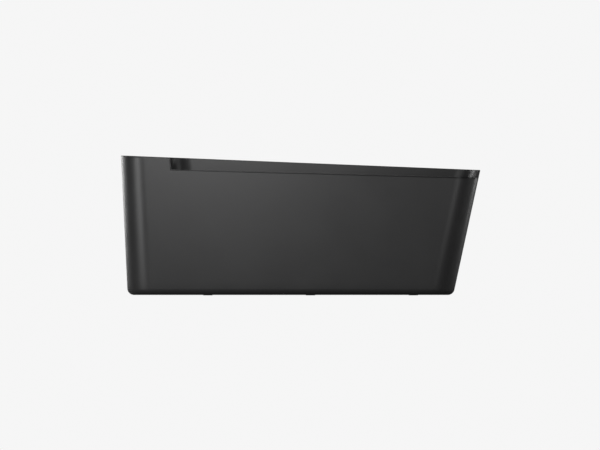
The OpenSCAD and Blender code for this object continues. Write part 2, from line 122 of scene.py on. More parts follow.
class TubSizes(bpy.types.PropertyGroup):
    """Sizes of the tub's two skins."""

    width: length("Width", 0.750, "Width at the rim of the tap end")
    back_end_h: length("Back height", 0.593, "Rim height at the back end")
    tap_lean: angle("Tap end lean", 2.74, "Lean of the outer wall at the tap end")
    back_lean: angle("Back end lean", 12.2, "Lean of the outer wall at the back end")
    side_lean: angle("Side lean", 3.5, "Lean of the outer walls at the sides")
    corner_r: length("Corner radius", 0.115, "Radius of the upright outer corners")
    base_r: length("Floor radius", 0.032, "Radius of the outer edge at the floor")
    skin: length("Skin", 0.005, "Thickness of one skin")
    bond_gap: length("Bond gap", 0.0002, "Gap between the skins at the rim")
    lip_w: length("Lip", 0.048, "Width of the lip that the skirt turns in at the floor")
    ledge_w: length("Tap ledge", 0.232, "Width of the tap ledge")
    entry_tap_h: length("Entry height, tap end", 0.596, "Height of the entry rim at the ledge")
    entry_back_h: length("Entry height, back end", 0.557, "Height of the entry rim at the back end")
    entry_past_corner: length("Entry end", 0.016, "Distance past the corner at which the entry rim steps up")
    basin_tap_lean: angle("Ledge wall lean", 7, "Lean of the basin wall below the tap ledge")
    basin_back_lean: angle("Backrest lean", 24, "Lean of the backrest")
    basin_side_lean: angle("Basin side lean", 5, "Lean of the basin's sides")
    basin_floor_r: length("Basin radius", 0.085, "Radius between the basin floor and its walls")
    rim_round: length("Rim edge", 0.0025, "Rounding of the rim's edges")
    ledge_round: length("Ledge edge", 0.006, "Rounding of the ledge's edge and of the two steps")
    seam_round: length("Seam edge", 0.0006, "Rounding at the joint between the two skins")
    seam_gap: length("Seam gap", 0.0002, "Gap at the joint between the two skins")
    overflow_z: length("Overflow height", 0.490, "Height of the middle of the overflow cover")
    cover_r: length("Cover radius", 0.036, "Radius of the overflow cover")
    cover_t: length("Cover depth", 0.009, "Depth of the overflow cover")
    hose_r: length("Hose radius", 0.014, "Outer radius of the hose")
    hose_wall: length("Hose wall", 0.002, "Wall of the hose")
    hose_bend_r: length("Hose bend", 0.060, "Radius of the hose's bend")
    hose_rib: length("Hose rib", 0.006, "Distance between two ribs of the hose")
    hose_groove: length("Hose groove", 0.0012, "Depth of the grooves between the ribs")


class TubColours(bpy.types.PropertyGroup):
    """Colours of the finishes."""

    shell: paint("Tub", (0.030, 0.030, 0.0305), "Matte black coat of both skins")
    trim: paint("Trim", (0.022, 0.022, 0.023), "Black coat of the waste and overflow covers")
    ply: paint("Plywood", (0.50, 0.33, 0.17), "Birch plywood")
    primer: paint("Frame", (0.22, 0.23, 0.24), "Grey primer of the frame")
    zinc: paint("Zinc", (0.60, 0.61, 0.62), "Bright zinc plate")
    brass: paint("Brass", (0.62, 0.43, 0.17), "Turned brass")
    rubber: paint("Rubber", (0.018, 0.018, 0.018), "Black rubber")
    pipe: paint("Pipe", (0.62, 0.62, 0.59), "Off-white polypropylene")
    hose: paint("Hose", (0.34, 0.35, 0.36), "Grey flexible hose")


def sizes():
    """The scene's sizes."""
    return bpy.context.scene.tub_sizes


def colours():
    """The scene's colours."""
    return bpy.context.scene.tub_colours


# ---------- leaning forms ----------


class Form:
    """A box whose walls lean, with upright corners of one radius and a rounded floor edge.

    A station is where one upright line of the wall runs: along and across run from 0 to 1 between the
    corner centres, and (nx, ny) is the wall's outward direction in plan. A point of the wall is the
    centre at its height plus the corner radius times that direction, so each line is straight.
    """

    def __init__(self, ends, half_w, top, bottom, leans, corner_r, edge_r):
        self.ends, self.half_w, self.top, self.bottom = ends, half_w, top, bottom
        self.leans, self.r, self.edge = leans, corner_r, edge_r

    def grown(self, t):
        """The same form with its surface moved out by t."""
        c = [math.cos(a) for a in self.leans]
        ends = (self.ends[0] - t / c[0], self.ends[1] + t / c[1])
        half_w, bottom = self.half_w + t / c[2], self.bottom - t
        return Form(ends, half_w, self.top, bottom, self.leans, self.r + t, self.edge + t)

    def lean(self, st):
        """Lean at each station: its tangent is the walls' tangents weighted by the direction's parts."""
        end = np.where(st.nx < 0, math.tan(self.leans[0]), math.tan(self.leans[1]))
        return np.arctan(np.abs(st.nx) * end + np.abs(st.ny) * math.tan(self.leans[2]))

    def centre_top(self, st):
        """Corner centre of each station at the form's top."""
        lo, hi = self.ends[0] + self.r, self.ends[1] - self.r
        across = self.half_w - self.r
        return lo + (hi - lo) * st.along, -across + 2 * across * st.across

    def centre_floor(self, st):
        """Corner centre of each station on the floor edge's ring, set so that the walls touch the ring."""
        drop = self.top - self.bottom - self.edge
        pull = [drop * math.tan(a) + self.edge / math.cos(a) for a in self.leans]
        ring = self.r - self.edge
        lo, hi = self.ends[0] + pull[0] + ring, self.ends[1] - pull[1] - ring
        across = self.half_w - pull[2] - ring
        return lo + (hi - lo) * st.along, -across + 2 * across * st.across

    def edge_point(self, st, turn):
        """Point on the rounded floor edge: the ring's point plus edge radius times (cos, -sin) of the turn."""
        cx, cy = self.centre_floor(st)
        reach = (self.r - self.edge) + self.edge * np.cos(turn)
        z = self.bottom + self.edge * (1 - np.sin(turn))
        return np.stack([cx + st.nx * reach, cy + st.ny * reach, z + 0 * cx], -1)

    def foot(self, st):
        """Lower end of each straight wall line, where it meets the rounded floor edge."""
        return self.edge_point(st, self.lean(st))

    def head(self, st):
        """Upper end of each straight wall line."""
        cx, cy = self.centre_top(st)
        return np.stack([cx + st.nx * self.r, cy + st.ny * self.r, self.top + 0 * cx], -1)

    def at(self, st, z):
        """Point of each wall line at height z, by straight interpolation between its ends."""
        head, foot = self.head(st), self.foot(st)
        f = (head[..., 2] - z) / (head[..., 2] - foot[..., 2])
        return head + (foot - head) * f[..., None]

    def under_plane(self, st, plane):
        """Point of each wall line on the plane z = a + b x, solved on the straight line."""
        head, foot = self.head(st), self.foot(st)
        dz = head[..., 2] - foot[..., 2]
        run = (head[..., 0] - foot[..., 0]) / dz
        a, b = plane
        z = (a + b * (head[..., 0] - head[..., 2] * run)) / (1 - b * run)
        return self.at(st, z)

    def normal(self, st):
        """Outward unit normal of the wall: the plan direction tipped down by the lean."""
        lean = self.lean(st)
        return np.stack([st.nx * np.cos(lean), st.ny * np.cos(lean), -np.sin(lean)], -1)

    def along_at(self, x, z):
        """Station value along the form for a point at x on a long side, at height z."""
        one = Stations.line(np.array([0.0, 1.0]), 0.0, (0.0, -1.0))
        ends = [self.at(Stations(one.along[i], one.across[i], one.nx[i], one.ny[i]), z)[..., 0] for i in (0, 1)]
        return (x - ends[0]) / (ends[1] - ends[0])

    def across_at(self, y, z, end):
        """Station value across the form for a point at y on one end wall (0 or 1), at height z."""
        one = Stations.line(float(end), np.array([0.0, 1.0]), (2.0 * end - 1.0, 0.0))
        ends = [self.at(Stations(one.along[i], one.across[i], one.nx[i], one.ny[i]), z)[..., 1] for i in (0, 1)]
        return (y - ends[0]) / (ends[1] - ends[0])


class Stations:
    """Places round a form: along, across and the outward direction in plan, as equal arrays."""

    def __init__(self, along, across, nx, ny):
        self.along, self.across, self.nx, self.ny = np.broadcast_arrays(along, across, nx, ny)

    @staticmethod
    def line(along, across, out):
        """Stations on a straight wall."""
        return Stations(along, across, float(out[0]), float(out[1]))

    @staticmethod
    def arc(along, across, start, stop, steps):
        """Stations round a corner: direction angles spaced evenly from start to stop, in degrees."""
        a = np.radians(np.linspace(start, stop, steps))
        return Stations(float(along), float(across), np.cos(a), np.sin(a))

    @staticmethod
    def join(parts):
        """One run of stations from several."""
        keys = ("along", "across", "nx", "ny")
        return Stations(*[np.concatenate([getattr(p, k) for p in parts]) for k in keys])

    def pick(self, i):
        """Some of the stations."""
        return Stations(self.along[i], self.across[i], self.nx[i], self.ny[i])


def skirt_form(s):
    """Outer form of the tub."""
    top, bottom = BASIN_BOX[1].z + FORM_RISE, SKIRT_BOX[0].z
    half = (BASIN_BOX[1].x - BASIN_BOX[0].x) / 2
    ends = (
        BASIN_BOX[0].x - FORM_RISE * math.tan(s.tap_lean),
        BASIN_BOX[0].x + 2 * half + (top - s.back_end_h) * math.tan(s.back_lean),
    )
    half_w = s.width / 2 + FORM_RISE * math.tan(s.side_lean)
    return Form(ends, half_w, top, bottom, (s.tap_lean, s.back_lean, s.side_lean), s.corner_r, s.base_r)


def basin_form(s):
    """Water space of the basin."""
    lines = RimLines(s)
    top = BASIN_BOX[1].z + FORM_RISE
    rim_w = 2 * s.skin + s.bond_gap
    back_z = lines.rim_z(BASIN_BOX[1].x - s.corner_r)
    r = s.corner_r - rim_w
    hi = (
        BASIN_BOX[1].x
        - rim_w / math.cos(s.back_lean)
        + (back_z - s.back_end_h) * math.tan(s.back_lean)
        + (top - back_z) * math.tan(s.basin_back_lean)
    )
    half_w = (
        s.width / 2
        - rim_w / math.cos(s.side_lean)
        - (BASIN_BOX[1].z - lines.ledge_z) * math.tan(s.side_lean)
        + (top - lines.ledge_z) * math.tan(s.basin_side_lean)
    )
    leans = (s.basin_tap_lean, s.basin_back_lean, s.basin_side_lean)
    floor_z = BOARD_BOX[1].z + s.skin
    return Form((lines.ledge_wall_x(top), hi), half_w, top, floor_z, leans, r, min(s.basin_floor_r, r - 0.005))


class RimLines:
    """The rim plane, the entry rim plane and the two slanted steps between them."""

    def __init__(self, s):
        x0, x1 = BASIN_BOX[0].x, BASIN_BOX[1].x
        slope = (s.back_end_h - BASIN_BOX[1].z) / (x1 - x0)
        self.rim = (BASIN_BOX[1].z - slope * x0, slope)
        self.ledge_x = x0 + s.ledge_w
        self.ledge_z = self.rim_z(self.ledge_x)
        fall = (s.entry_back_h - s.entry_tap_h) / (x1 - self.ledge_x)
        self.entry = (s.entry_tap_h - fall * self.ledge_x, fall)
        self.lean = s.basin_tap_lean
        self.end_y = -s.width / 2 + s.corner_r + s.entry_past_corner
        self.end_z = s.back_end_h

    def rim_z(self, x):
        """Height of the rim plane: it falls evenly with x."""
        return self.rim[0] + self.rim[1] * x

    def entry_z(self, x):
        """Height of the entry rim plane: it falls evenly with x."""
        return self.entry[0] + self.entry[1] * x

    def ledge_wall_x(self, z):
        """X of the ledge's wall plane at height z."""
        return self.ledge_x + (self.ledge_z - z) * math.tan(self.lean)

    def end_step_y(self, z):
        """Y of the step at the back end, at height z."""
        return self.end_y + (z - self.end_z) * math.tan(self.lean)


def unit(v):
    """Vectors scaled to length one."""
    return v / np.linalg.norm(v, axis=-1, keepdims=True)


def dot(a, b):
    """Dot products, kept as a last axis of one."""
    return (a * b).sum(-1, keepdims=True)


def turned(a, b, f):
    """Unit vectors turned evenly from a to b: sin((1-f)w) a + sin(f w) b over sin w, w the angle between."""
    w = np.arccos(np.clip(dot(a, b), -1, 1))
    w = np.maximum(w, 1e-6)
    return (np.sin((1 - f) * w) * a + np.sin(f * w) * b) / np.sin(w)


def fillet(edge, n0, n1, r, f):
    """Round between two faces with outward normals n0 and n1 that meet at edge.

    The centre is edge - r (n0 + n1) / (1 + n0.n1); a point is the centre plus r times the turned normal.
    """
    centre = edge - r * (n0 + n1) / (1 + dot(n0, n1))
    return centre + r * turned(n0, n1, f)


def eased(steps):
    """Values from 0 to 1 that crowd towards both ends, as (1 - cos) / 2."""
    return (1 - np.cos(np.linspace(0, math.pi, steps))) / 2


def step_path(foot, ramp, top, r, arc_steps, ramp_steps):
    """A step's profile from its foot, up the slant and round its top corner, in two dimensions.

    foot is the lower corner, ramp the unit direction up the slant, and top gives the upper line as a
    point and a unit direction away from the step. The corner is where they cross, and its round has
    radius r. Returns the points and the outward normals, from the top of the round down to the foot.
    """
    p, d = top
    cross = ramp[0] * d[1] - ramp[1] * d[0]
    reach = ((p[0] - foot[0]) * d[1] - (p[1] - foot[1]) * d[0]) / cross
    corner = foot + ramp * reach
    down = -ramp
    half = math.acos(float(np.clip(np.dot(down, d), -1, 1))) / 2
    tangent = r / math.tan(half)
    n_top = np.array([-d[1], d[0]])
    n_top = n_top if n_top[1] > 0 else -n_top
    n_ramp = np.array([-ramp[1], ramp[0]])
    n_ramp = n_ramp if np.dot(n_ramp, n_top) > -1 and n_ramp[0] * d[0] < 0 else -n_ramp
    centre = corner + (down + d) / np.linalg.norm(down + d) * r / math.sin(half)
    f = np.linspace(0, 1, arc_steps)[:, None]
    normals = turned(n_top[None], n_ramp[None], f)
    arc = centre + r * normals
    g = np.linspace(0, 1, ramp_steps + 1)[1:, None]
    start = corner + down * tangent
    slant = start + (foot - start) * g
    return np.concatenate([arc, slant]), np.concatenate([normals, np.repeat(n_ramp[None], ramp_steps, 0)])


class RimRun:
    """Every upright line of the two skins, in order round the tub from the foot of the step at the ledge.

    For each line it holds the outer station and edge point, the basin station and edge point, the
    normal of the surface on top between them, and how far along the ledge's edge round it lies.
    """

    def __init__(self, s):
        self.s, self.lines = s, RimLines(s)
        self.outer, self.basin = skirt_form(s), basin_form(s)
        self.zones = []
        self.entry_zone()
        self.back_zone()
        self.ledge_zone()
        self.step_zone()
        keys = ("o", "i", "edge_o", "edge_i", "top_n", "round_i", "lap", "mitre")
        cat = {k: [z[k] for z in self.zones] for k in keys}
        self.o, self.i = Stations.join(cat["o"]), Stations.join(cat["i"])
        for k in keys[2:]:
            setattr(self, k, np.concatenate(cat[k]))

    def add(self, o, i, edge_o, edge_i, top_n, round_i, lap=0, crease=None):
        """Adds a zone of lines. crease is the normal of the face that the first line's face meets."""
        n = len(edge_o)
        full = lambda v: np.broadcast_to(np.asarray(v, float), (n,)).copy()
        top_n = np.broadcast_to(top_n, (n, 3)).copy()
        mitre = full(1)
        if crease is not None:
            both = top_n[0] + crease
            mitre[0] = 2 / np.linalg.norm(both)
            top_n[0] = unit(both)
        self.zones.append(
            dict(
                o=o, i=i, edge_o=edge_o, edge_i=edge_i, top_n=top_n, round_i=full(round_i), lap=full(lap),
                mitre=mitre[:, None],
            )
        )

    def flat(self, o, i, plane, round_i, crease=None):
        """Adds lines whose top surface is one plane."""
        n = unit(np.array([-plane[1], 0.0, 1.0]))
        edges = self.outer.under_plane(o, plane), self.basin.under_plane(i, plane)
        self.add(o, i, *edges, n, round_i, crease=crease)

    def entry_zone(self):
        """The lowered rim: from the ledge's step along the near side, round the corner, to the end step."""
        s, plane = self.s, self.lines.entry
        near = (0.0, -1.0)
        arc = Stations.arc(0, 0, 180, 270, CORNER_STEPS)
        edge = self.basin.under_plane(arc, plane)
        along = self.outer.along_at(edge[:, 0], edge[:, 2])
        fade = np.clip((edge[:, 1].max() - edge[:, 1]) / 0.03, 0, 1)
        face = np.array([math.cos(s.basin_tap_lean), 0, math.sin(s.basin_tap_lean)])
        self.flat(Stations.line(along, 0.0, near), arc, plane, s.rim_round * fade * fade * (3 - 2 * fade), face)
        f = np.linspace(0, 1, 30)[1:-1]
        outer = Stations.line(along[-1] + (1 - along[-1]) * f, 0.0, near)
        self.flat(outer, Stations.line(f, 0.0, near), plane, s.rim_round)
        corner = Stations.arc(1, 0, 270, 360, CORNER_STEPS)
        self.flat(corner, corner, plane, s.rim_round)

    def end_path(self, form):
        """Points and normals of the end step on one form, from its foot to the end of its round."""
        lines = self.lines
        across0 = Stations.line(1.0, np.array([0.0]), (1.0, 0.0))
        low = form.under_plane(across0, lines.entry)[0]
        high = form.under_plane(across0, lines.rim)[0]
        foot = np.array([lines.end_step_y(low[2]), low[2]])
        slant = unit(np.array([math.sin(lines.lean), math.cos(lines.lean)]))
        top = (np.array([lines.end_y, high[2]]), np.array([1.0, 0.0]))
        path, normals = step_path(foot, slant, top, self.s.ledge_round, ARC_STEPS, RAMP_STEPS)
        path, normals = path[::-1], normals[::-1]
        st = Stations.line(1.0, form.across_at(path[:, 0], path[:, 1], 1), (1.0, 0.0))
        points = form.at(st, path[:, 1])
        return st, points, np.stack([0 * normals[:, 0], normals[:, 0], normals[:, 1]], -1)

    def back_zone(self):
        """The end step, then the full rim round the back end and along the far side."""
        s, plane = self.s, self.lines.rim
        o, edge_o, n = self.end_path(self.outer)
        i, edge_i, _ = self.end_path(self.basin)
        entry_n = unit(np.array([-self.lines.entry[1], 0.0, 1.0]))
        self.add(o, i, edge_o, edge_i, n, s.rim_round, crease=entry_n)
        f = np.linspace(0, 1, 22)[1:-1]
        rest = lambda st: Stations.line(1.0, st.across[-1] + (1 - st.across[-1]) * f, (1.0, 0.0))
        self.flat(rest(o), rest(i), plane, s.rim_round)
        corner = Stations.arc(1, 1, 0, 90, CORNER_STEPS)
        self.flat(corner, corner, plane, s.rim_round)
        first = self.basin.under_plane(Stations.line(np.array([0.0]), 1.0, (0.0, 1.0)), plane)[0]
        self.side_stop = float(self.outer.along_at(first[0], first[2]))
        f = np.linspace(1, 0, 30)[1:-1]
        self.flat(
            Stations.line(self.side_stop + (1 - self.side_stop) * f, 1.0, (0.0, 1.0)),
            Stations.line(f, 1.0, (0.0, 1.0)), plane, s.rim_round,
        )

    def ledge_zone(self):
        """The tap ledge: outer lines run round both of its corners, and meet the basin's corner and wall."""
        s, plane = self.s, self.lines.rim
        path, _ = self.ledge_path()
        last = float(self.outer.along_at(path[0, 0], path[0, 1]))
        side = (0.0, 1.0)
        far = [
            Stations.line(self.side_stop * (1 - np.linspace(0, 1, 14)[:-1]), 1.0, side),
            Stations.arc(0, 1, 90, 180, CORNER_STEPS),
            Stations.line(0.0, np.linspace(1, 0.5, 12)[1:], (-1.0, 0.0)),
        ]
        far = Stations.join(far)
        near = [
            Stations.line(0.0, np.linspace(0.5, 0, 12)[1:], (-1.0, 0.0)),
            Stations.arc(0, 0, 180, 270, CORNER_STEPS).pick(slice(1, None)),
            Stations.line(last * np.linspace(0, 1, 12)[1:-1], 0.0, (0.0, -1.0)),
        ]
        near = Stations.join(near)
        inner = Stations.join([
            Stations.arc(0, 1, 90, 180, CORNER_STEPS),
            Stations.line(0.0, np.linspace(1, 0.5, len(far.along) - CORNER_STEPS + 1)[1:], (-1.0, 0.0)),
        ])
        n_arc = CORNER_STEPS
        ease = np.clip(np.arange(len(far.along)) / n_arc, 0, 1)
        ease = ease * ease * (3 - 2 * ease)
        self.flat(far, inner, plane, s.rim_round + (s.ledge_round - s.rim_round) * ease)
        y_first = -STEP_TURN
        z = self.lines.ledge_z
        across_last = float(self.basin.across_at(y_first, z, 0))
        f = np.linspace(0, 1, len(near.along) + 2)[1:-1]
        inner = Stations.line(0.0, 0.5 + (across_last - 0.5) * f, (-1.0, 0.0))
        self.flat(near, inner, plane, s.ledge_round)

    def ledge_path(self):
        """Points and normals of the ledge's step in x and z, from the top of its round to its foot."""
        lines = self.lines
        low_x = lines.ledge_wall_x(self.s.entry_tap_h)
        foot = np.array([low_x, lines.entry_z(low_x)])
        slant = np.array([-math.sin(lines.lean), math.cos(lines.lean)])
        flat = unit(np.array([-1.0, -lines.rim[1]]))
        top = (np.array([lines.ledge_x, lines.ledge_z]), flat)
        return step_path(foot, slant, top, self.s.ledge_round, ARC_STEPS, RAMP_STEPS)

    def step_zone(self):
        """The step at the ledge. Its face is the ledge wall's own plane, so its lines run in along the
        face and then turn down the wall, each a little sooner than the last."""
        path, normals = self.ledge_path()
        n = len(path)
        along = self.outer.along_at(path[:, 0], path[:, 1])
        o = Stations.line(along, 0.0, (0.0, -1.0))
        edge_o = self.outer.at(o, path[:, 1])
        edge_o[:, 0] = path[:, 0]
        tangent_y = float(self.basin.at(Stations.line(0.0, 0.0, (-1.0, 0.0)), path[-1:, 1])[0, 1])
        turn_y = np.linspace(-STEP_TURN, tangent_y, n)
        i = Stations.line(0.0, self.basin.across_at(turn_y, path[:, 1], 0), (-1.0, 0.0))
        edge_i = np.stack([path[:, 0], turn_y, path[:, 1]], -1)
        top_n = np.stack([normals[:, 0], 0 * normals[:, 0], normals[:, 1]], -1)
        keep = slice(0, n - 1)
        lap = np.minimum(np.arange(n), ARC_STEPS - 1)[keep] + ON_STEP
        self.add(o.pick(keep), i.pick(keep), edge_o[keep], edge_i[keep], top_n[keep], self.s.ledge_round, lap)


def blend_points(a, b, f):
    """Points between two rows of points, one row for each value of f."""
    return a[None] + (b - a)[None] * np.asarray(f)[:, None, None]


def outer_frame(run):
    """Unit directions at the outer edge: the wall's normal, down the wall, and in over the top."""
    wall = run.outer.normal(run.o)
    down = -unit(run.top_n - dot(run.top_n, wall) * wall)
    inward = -unit(wall - dot(wall, run.top_n) * run.top_n)
    return wall, down, inward


def basin_grid(run):
    """Rows of points that close the basin skin: out under the rim, over it, down the basin to the waste
    hole, and back underneath.

    Each row has one point for each line of the run. Rounds turn their normal evenly from face to face,
    walls are straight between them, and the floor runs straight from its rounded edge to the hole's circle.
    """
    s = run.s
    wall, down, inward = outer_frame(run)
    seam = run.edge_o + down * s.skin * run.mitre
    rows = [seam + inward * s.seam_round, seam - down * s.seam_round]
    f6 = np.linspace(0, 1, 7)
    over = [fillet(run.edge_o, wall, run.top_n, s.rim_round, f) for f in f6]
    rows += list(blend_points(rows[-1], over[0], [0.35, 0.9])) + over

    basin_n = -run.basin.normal(run.i)
    r = run.round_i[:, None]
    ledge_n = unit(np.array([-run.lines.rim[1], 0.0, 1.0]))
    steps = ARC_STEPS
    inner = []
    lap = np.floor(run.lap)[:, None]
    on_step = run.lap[:, None] > 0
    ledge_edge = np.array([run.lines.ledge_x, 0.0, run.lines.ledge_z])
    for j in range(steps):
        plain = fillet(run.edge_i, run.top_n, basin_n, r, j / (steps - 1))
        at_round = fillet(ledge_edge[None], ledge_n[None], basin_n, r, np.maximum(lap, j) / (steps - 1))
        past = lap >= steps - 1
        turned_down = np.where(past, run.edge_i, at_round)
        back = np.maximum(lap - j, 0) * STEP_STRIDE
        turned_down[:, 1:2] = run.edge_i[:, 1:2] - back
        inner.append(np.where(on_step, turned_down, plain))
    f = eased(12)[1:-1]
    rows += list(blend_points(over[-1], inner[0], f)) + inner

    foot = run.basin.foot(run.i)
    wall_steps = np.concatenate([[0.004, 0.02], np.linspace(0.06, 0.94, 18), [0.98]])
    rows += list(blend_points(inner[-1], foot, wall_steps))
    lean = run.basin.lean(run.i)
    edge = [run.basin.edge_point(run.i, lean + (math.pi / 2 - lean) * g) for g in np.linspace(0, 1, 20)]
    rows += edge

    hole = hole_points(edge[-1], (FLANGE_BOX[0] + FLANGE_BOX[1]) / 2, HOLE_R)
    rows += list(blend_points(edge[-1], hole, [0.02, 0.1, 0.25, 0.45, 0.65, 0.85, 0.97, 1.0]))
    low = hole - np.array([0, 0, s.skin])
    rows += [low]

    under = run.basin.grown(s.skin)
    flat = under.edge_point(run.i, math.pi / 2 + 0 * lean)
    rows += list(blend_points(low, flat, [0.3, 0.7]))
    rows += [under.edge_point(run.i, lean + (math.pi / 2 - lean) * g) for g in np.linspace(1, 0, 9)]
    top_z = run.edge_i[:, 2] - s.skin * run.top_n[:, 2]
    head = under.at(run.i, top_z)
    rows += list(blend_points(rows[-1], head, [0.33, 0.66, 1.0]))
    rows += list(blend_points(head, rows[0], [0.3, 0.7]))
    return np.array(rows)


def hole_points(rim, centre, r):
    """Points of a circle round centre, each in the direction of its rim point."""
    d = rim[:, :2] - np.array(centre[:2])
    d = d / np.linalg.norm(d, axis=1, keepdims=True)
    out = rim.copy()
    out[:, :2] = np.array(centre[:2]) + r * d
    return out


def skirt_grid(run):
    """Rows of points that close the skirt: down its outside from the seam, round the floor edge, in
    along the lip, and back up its inside."""
    s = run.s
    _, down, inward = outer_frame(run)
    seam = run.edge_o + down * (s.skin + s.seam_gap) * run.mitre
    near = (run.o.across == 0) & (run.o.nx == 0)
    back = (run.o.along == 1) & (run.o.ny == 0)
    along = np.where(near, run.outer.along_at(seam[:, 0], seam[:, 2]), run.o.along)
    across = np.where(back, run.outer.across_at(seam[:, 1], seam[:, 2], 1), run.o.across)
    st = Stations(along, across, run.o.nx, run.o.ny)
    foot = run.outer.foot(st)
    rows = [seam + inward * s.seam_round, seam + down * s.seam_round]
    rows += list(blend_points(rows[-1], foot, np.concatenate([[0.004], np.linspace(0.05, 0.95, 15)])))
    lean = run.outer.lean(st)
    rows += [run.outer.edge_point(st, lean + (math.pi / 2 - lean) * g) for g in np.linspace(0, 1, 15)]
    flat = rows[-1]
    ring = run.outer.r - run.outer.edge
    reach = s.lip_w - s.base_r
    lip = flat - np.stack([st.nx, st.ny, 0 * st.nx], -1) * min(reach, ring)
    rows += list(blend_points(flat, lip, [0.3, 0.9, 1.0]))
    rows += [lip + np.array([0, 0, s.skin])]
    inside = run.outer.grown(-s.skin)
    rows += [inside.edge_point(st, lean + (math.pi / 2 - lean) * g) for g in np.linspace(1, 0, 9)]
    head = inside.at(st, seam[:, 2])
    rows += list(blend_points(rows[-1], head, [0.33, 0.66, 0.99]))
    rows += [blend_points(head, rows[0], [0.5])[0]]
    return np.array(rows)


# ---------- meshes ----------


def closed_grid_faces(rows, cols, row_wraps=True, col_wraps=True):
    """Corner numbers of the quads of a grid, as an array, with its ends joined where it wraps."""
    r = np.arange(rows if row_wraps else rows - 1)
    c = np.arange(cols if col_wraps else cols - 1)
    r0, c0 = np.meshgrid(r, c, indexing="ij")
    r1, c1 = (r0 + 1) % rows, (c0 + 1) % cols
    return np.stack([r0 * cols + c0, r0 * cols + c1, r1 * cols + c1, r1 * cols + c0], -1).reshape(-1, 4)


def mesh_object(name, points, faces, merge=1e-5):
    """A smooth-shaded object from points and faces, with doubles merged and its faces pointing out."""
    mesh = bpy.data.meshes.new(name)
    mesh.from_pydata(points.reshape(-1, 3), [], faces.tolist())
    work = bmesh.new()
    work.from_mesh(mesh)
    bmesh.ops.remove_doubles(work, verts=work.verts, dist=merge)
    bmesh.ops.dissolve_degenerate(work, edges=work.edges, dist=merge)
    bmesh.ops.recalc_face_normals(work, faces=work.faces)
    for face in work.faces:
        face.smooth = True
    work.to_mesh(mesh)
    work.free()
    mesh.set_sharp_from_angle(angle=math.radians(50))
    obj = bpy.data.objects.new(name, mesh)
    bpy.context.scene.collection.objects.link(obj)
    return obj


def grid_object(name, grid, row_wraps=True, col_wraps=True):
    """An object from rows of points."""
    rows, cols = grid.shape[:2]
    return mesh_object(name, grid, closed_grid_faces(rows, cols, row_wraps, col_wraps))


def lathe(name, profile, centre, sides=96):
    """A profile of (radius, height) points turned round a vertical axis: x = r cos a, y = r sin a."""
    a = np.linspace(0, 2 * math.pi, sides, endpoint=False)
    profile = np.asarray(profile, float)
    r, z = profile[:, :1], profile[:, 1:]
    grid = np.stack([centre[0] + r * np.cos(a), centre[1] + r * np.sin(a), z + 0 * a], -1)
    return grid_object(name, grid, row_wraps=False)


def rounded_corner(before, corner, after, r, steps=6):
    """Points of a round of radius r at the corner of two straight lines in two dimensions."""
    before, corner, after = (np.asarray(p, float) for p in (before, corner, after))
    a, b = unit(before - corner), unit(after - corner)
    half = math.acos(float(np.clip(np.dot(a, b), -1, 1))) / 2
    reach = r / math.tan(half)
    start, stop = corner + a * reach, corner + b * reach
    f = np.linspace(0, 1, steps)[:, None]
    middle = corner + unit(a + b) * r / math.sin(half)
    return middle + r * turned(unit(start - middle)[None], unit(stop - middle)[None], f)


def rounded_profile(points, radii):
    """A profile whose inner corners are rounded, each with its own radius (0 leaves it sharp)."""
    points = [np.asarray(p, float) for p in points]
    out = [points[0][None]]
    for k in range(1, len(points) - 1):
        if radii[k - 1] > 0:
            out.append(rounded_corner(points[k - 1], points[k], points[k + 1], radii[k - 1]))
        else:
            out.append(points[k][None])
    out.append(points[-1][None])
    return np.concatenate(out)


def finish_piece(obj, body, slot, material, *nodes):
    """Gives a finished piece its body and finish, and hides the nodes it stands for."""
    obj.data.materials.clear()
    obj.data.materials.append(material)
    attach(obj, body)
    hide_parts(*nodes)
    return obj


# ---------- shader groups ----------


def new_group(name, inputs, outputs):
    """A shader node group with named inputs, given as (name, kind, default), and outputs, as (name, kind)."""
    if name in bpy.data.node_groups:
        return bpy.data.node_groups[name], None, None
    tree = bpy.data.node_groups.new(name, "ShaderNodeTree")
    for label, kind, default in inputs:
        tree.interface.new_socket(label, in_out="INPUT", socket_type=kind).default_value = default
    for label, kind in outputs:
        tree.interface.new_socket(label, in_out="OUTPUT", socket_type=kind)
    return tree, tree.nodes.new("NodeGroupInput"), tree.nodes.new("NodeGroupOutput")


def add(tree, kind, links=()):
    """A node with its links made; links are (input name or number, socket)."""
    node = tree.nodes.new(kind)
    for target, socket in links:
        tree.links.new(socket, node.inputs[target])
    return node


def noise(tree, vector, scale, detail=3.0, roughness=0.5):
    """A noise texture's value on the given coordinates."""
    node = add(tree, "ShaderNodeTexNoise", [("Vector", vector)])
    node.inputs["Scale"].default_value = scale
    node.inputs["Detail"].default_value = detail
    node.inputs["Roughness"].default_value = roughness
    return node.outputs["Fac"]


def maths(tree, operation, a, b=None, clamp=False):
    """A maths node on sockets or numbers."""
    node = tree.nodes.new("ShaderNodeMath")
    node.operation, node.use_clamp = operation, clamp
    for i, value in enumerate([a] if b is None else [a, b]):
        if isinstance(value, (int, float)):
            node.inputs[i].default_value = value
        else:
            tree.links.new(value, node.inputs[i])
    return node.outputs[0]


def ramp(tree, value, low, high, out_low=0.0, out_high=1.0):
    """A value moved from one range to another and held inside it."""
    node = tree.nodes.new("ShaderNodeMapRange")
    tree.links.new(value, node.inputs["Value"])
    for key, number in (("From Min", low), ("From Max", high), ("To Min", out_low), ("To Max", out_high)):
        if isinstance(number, (int, float)):
            node.inputs[key].default_value = number
        else:
            tree.links.new(number, node.inputs[key])
    return node.outputs["Result"]


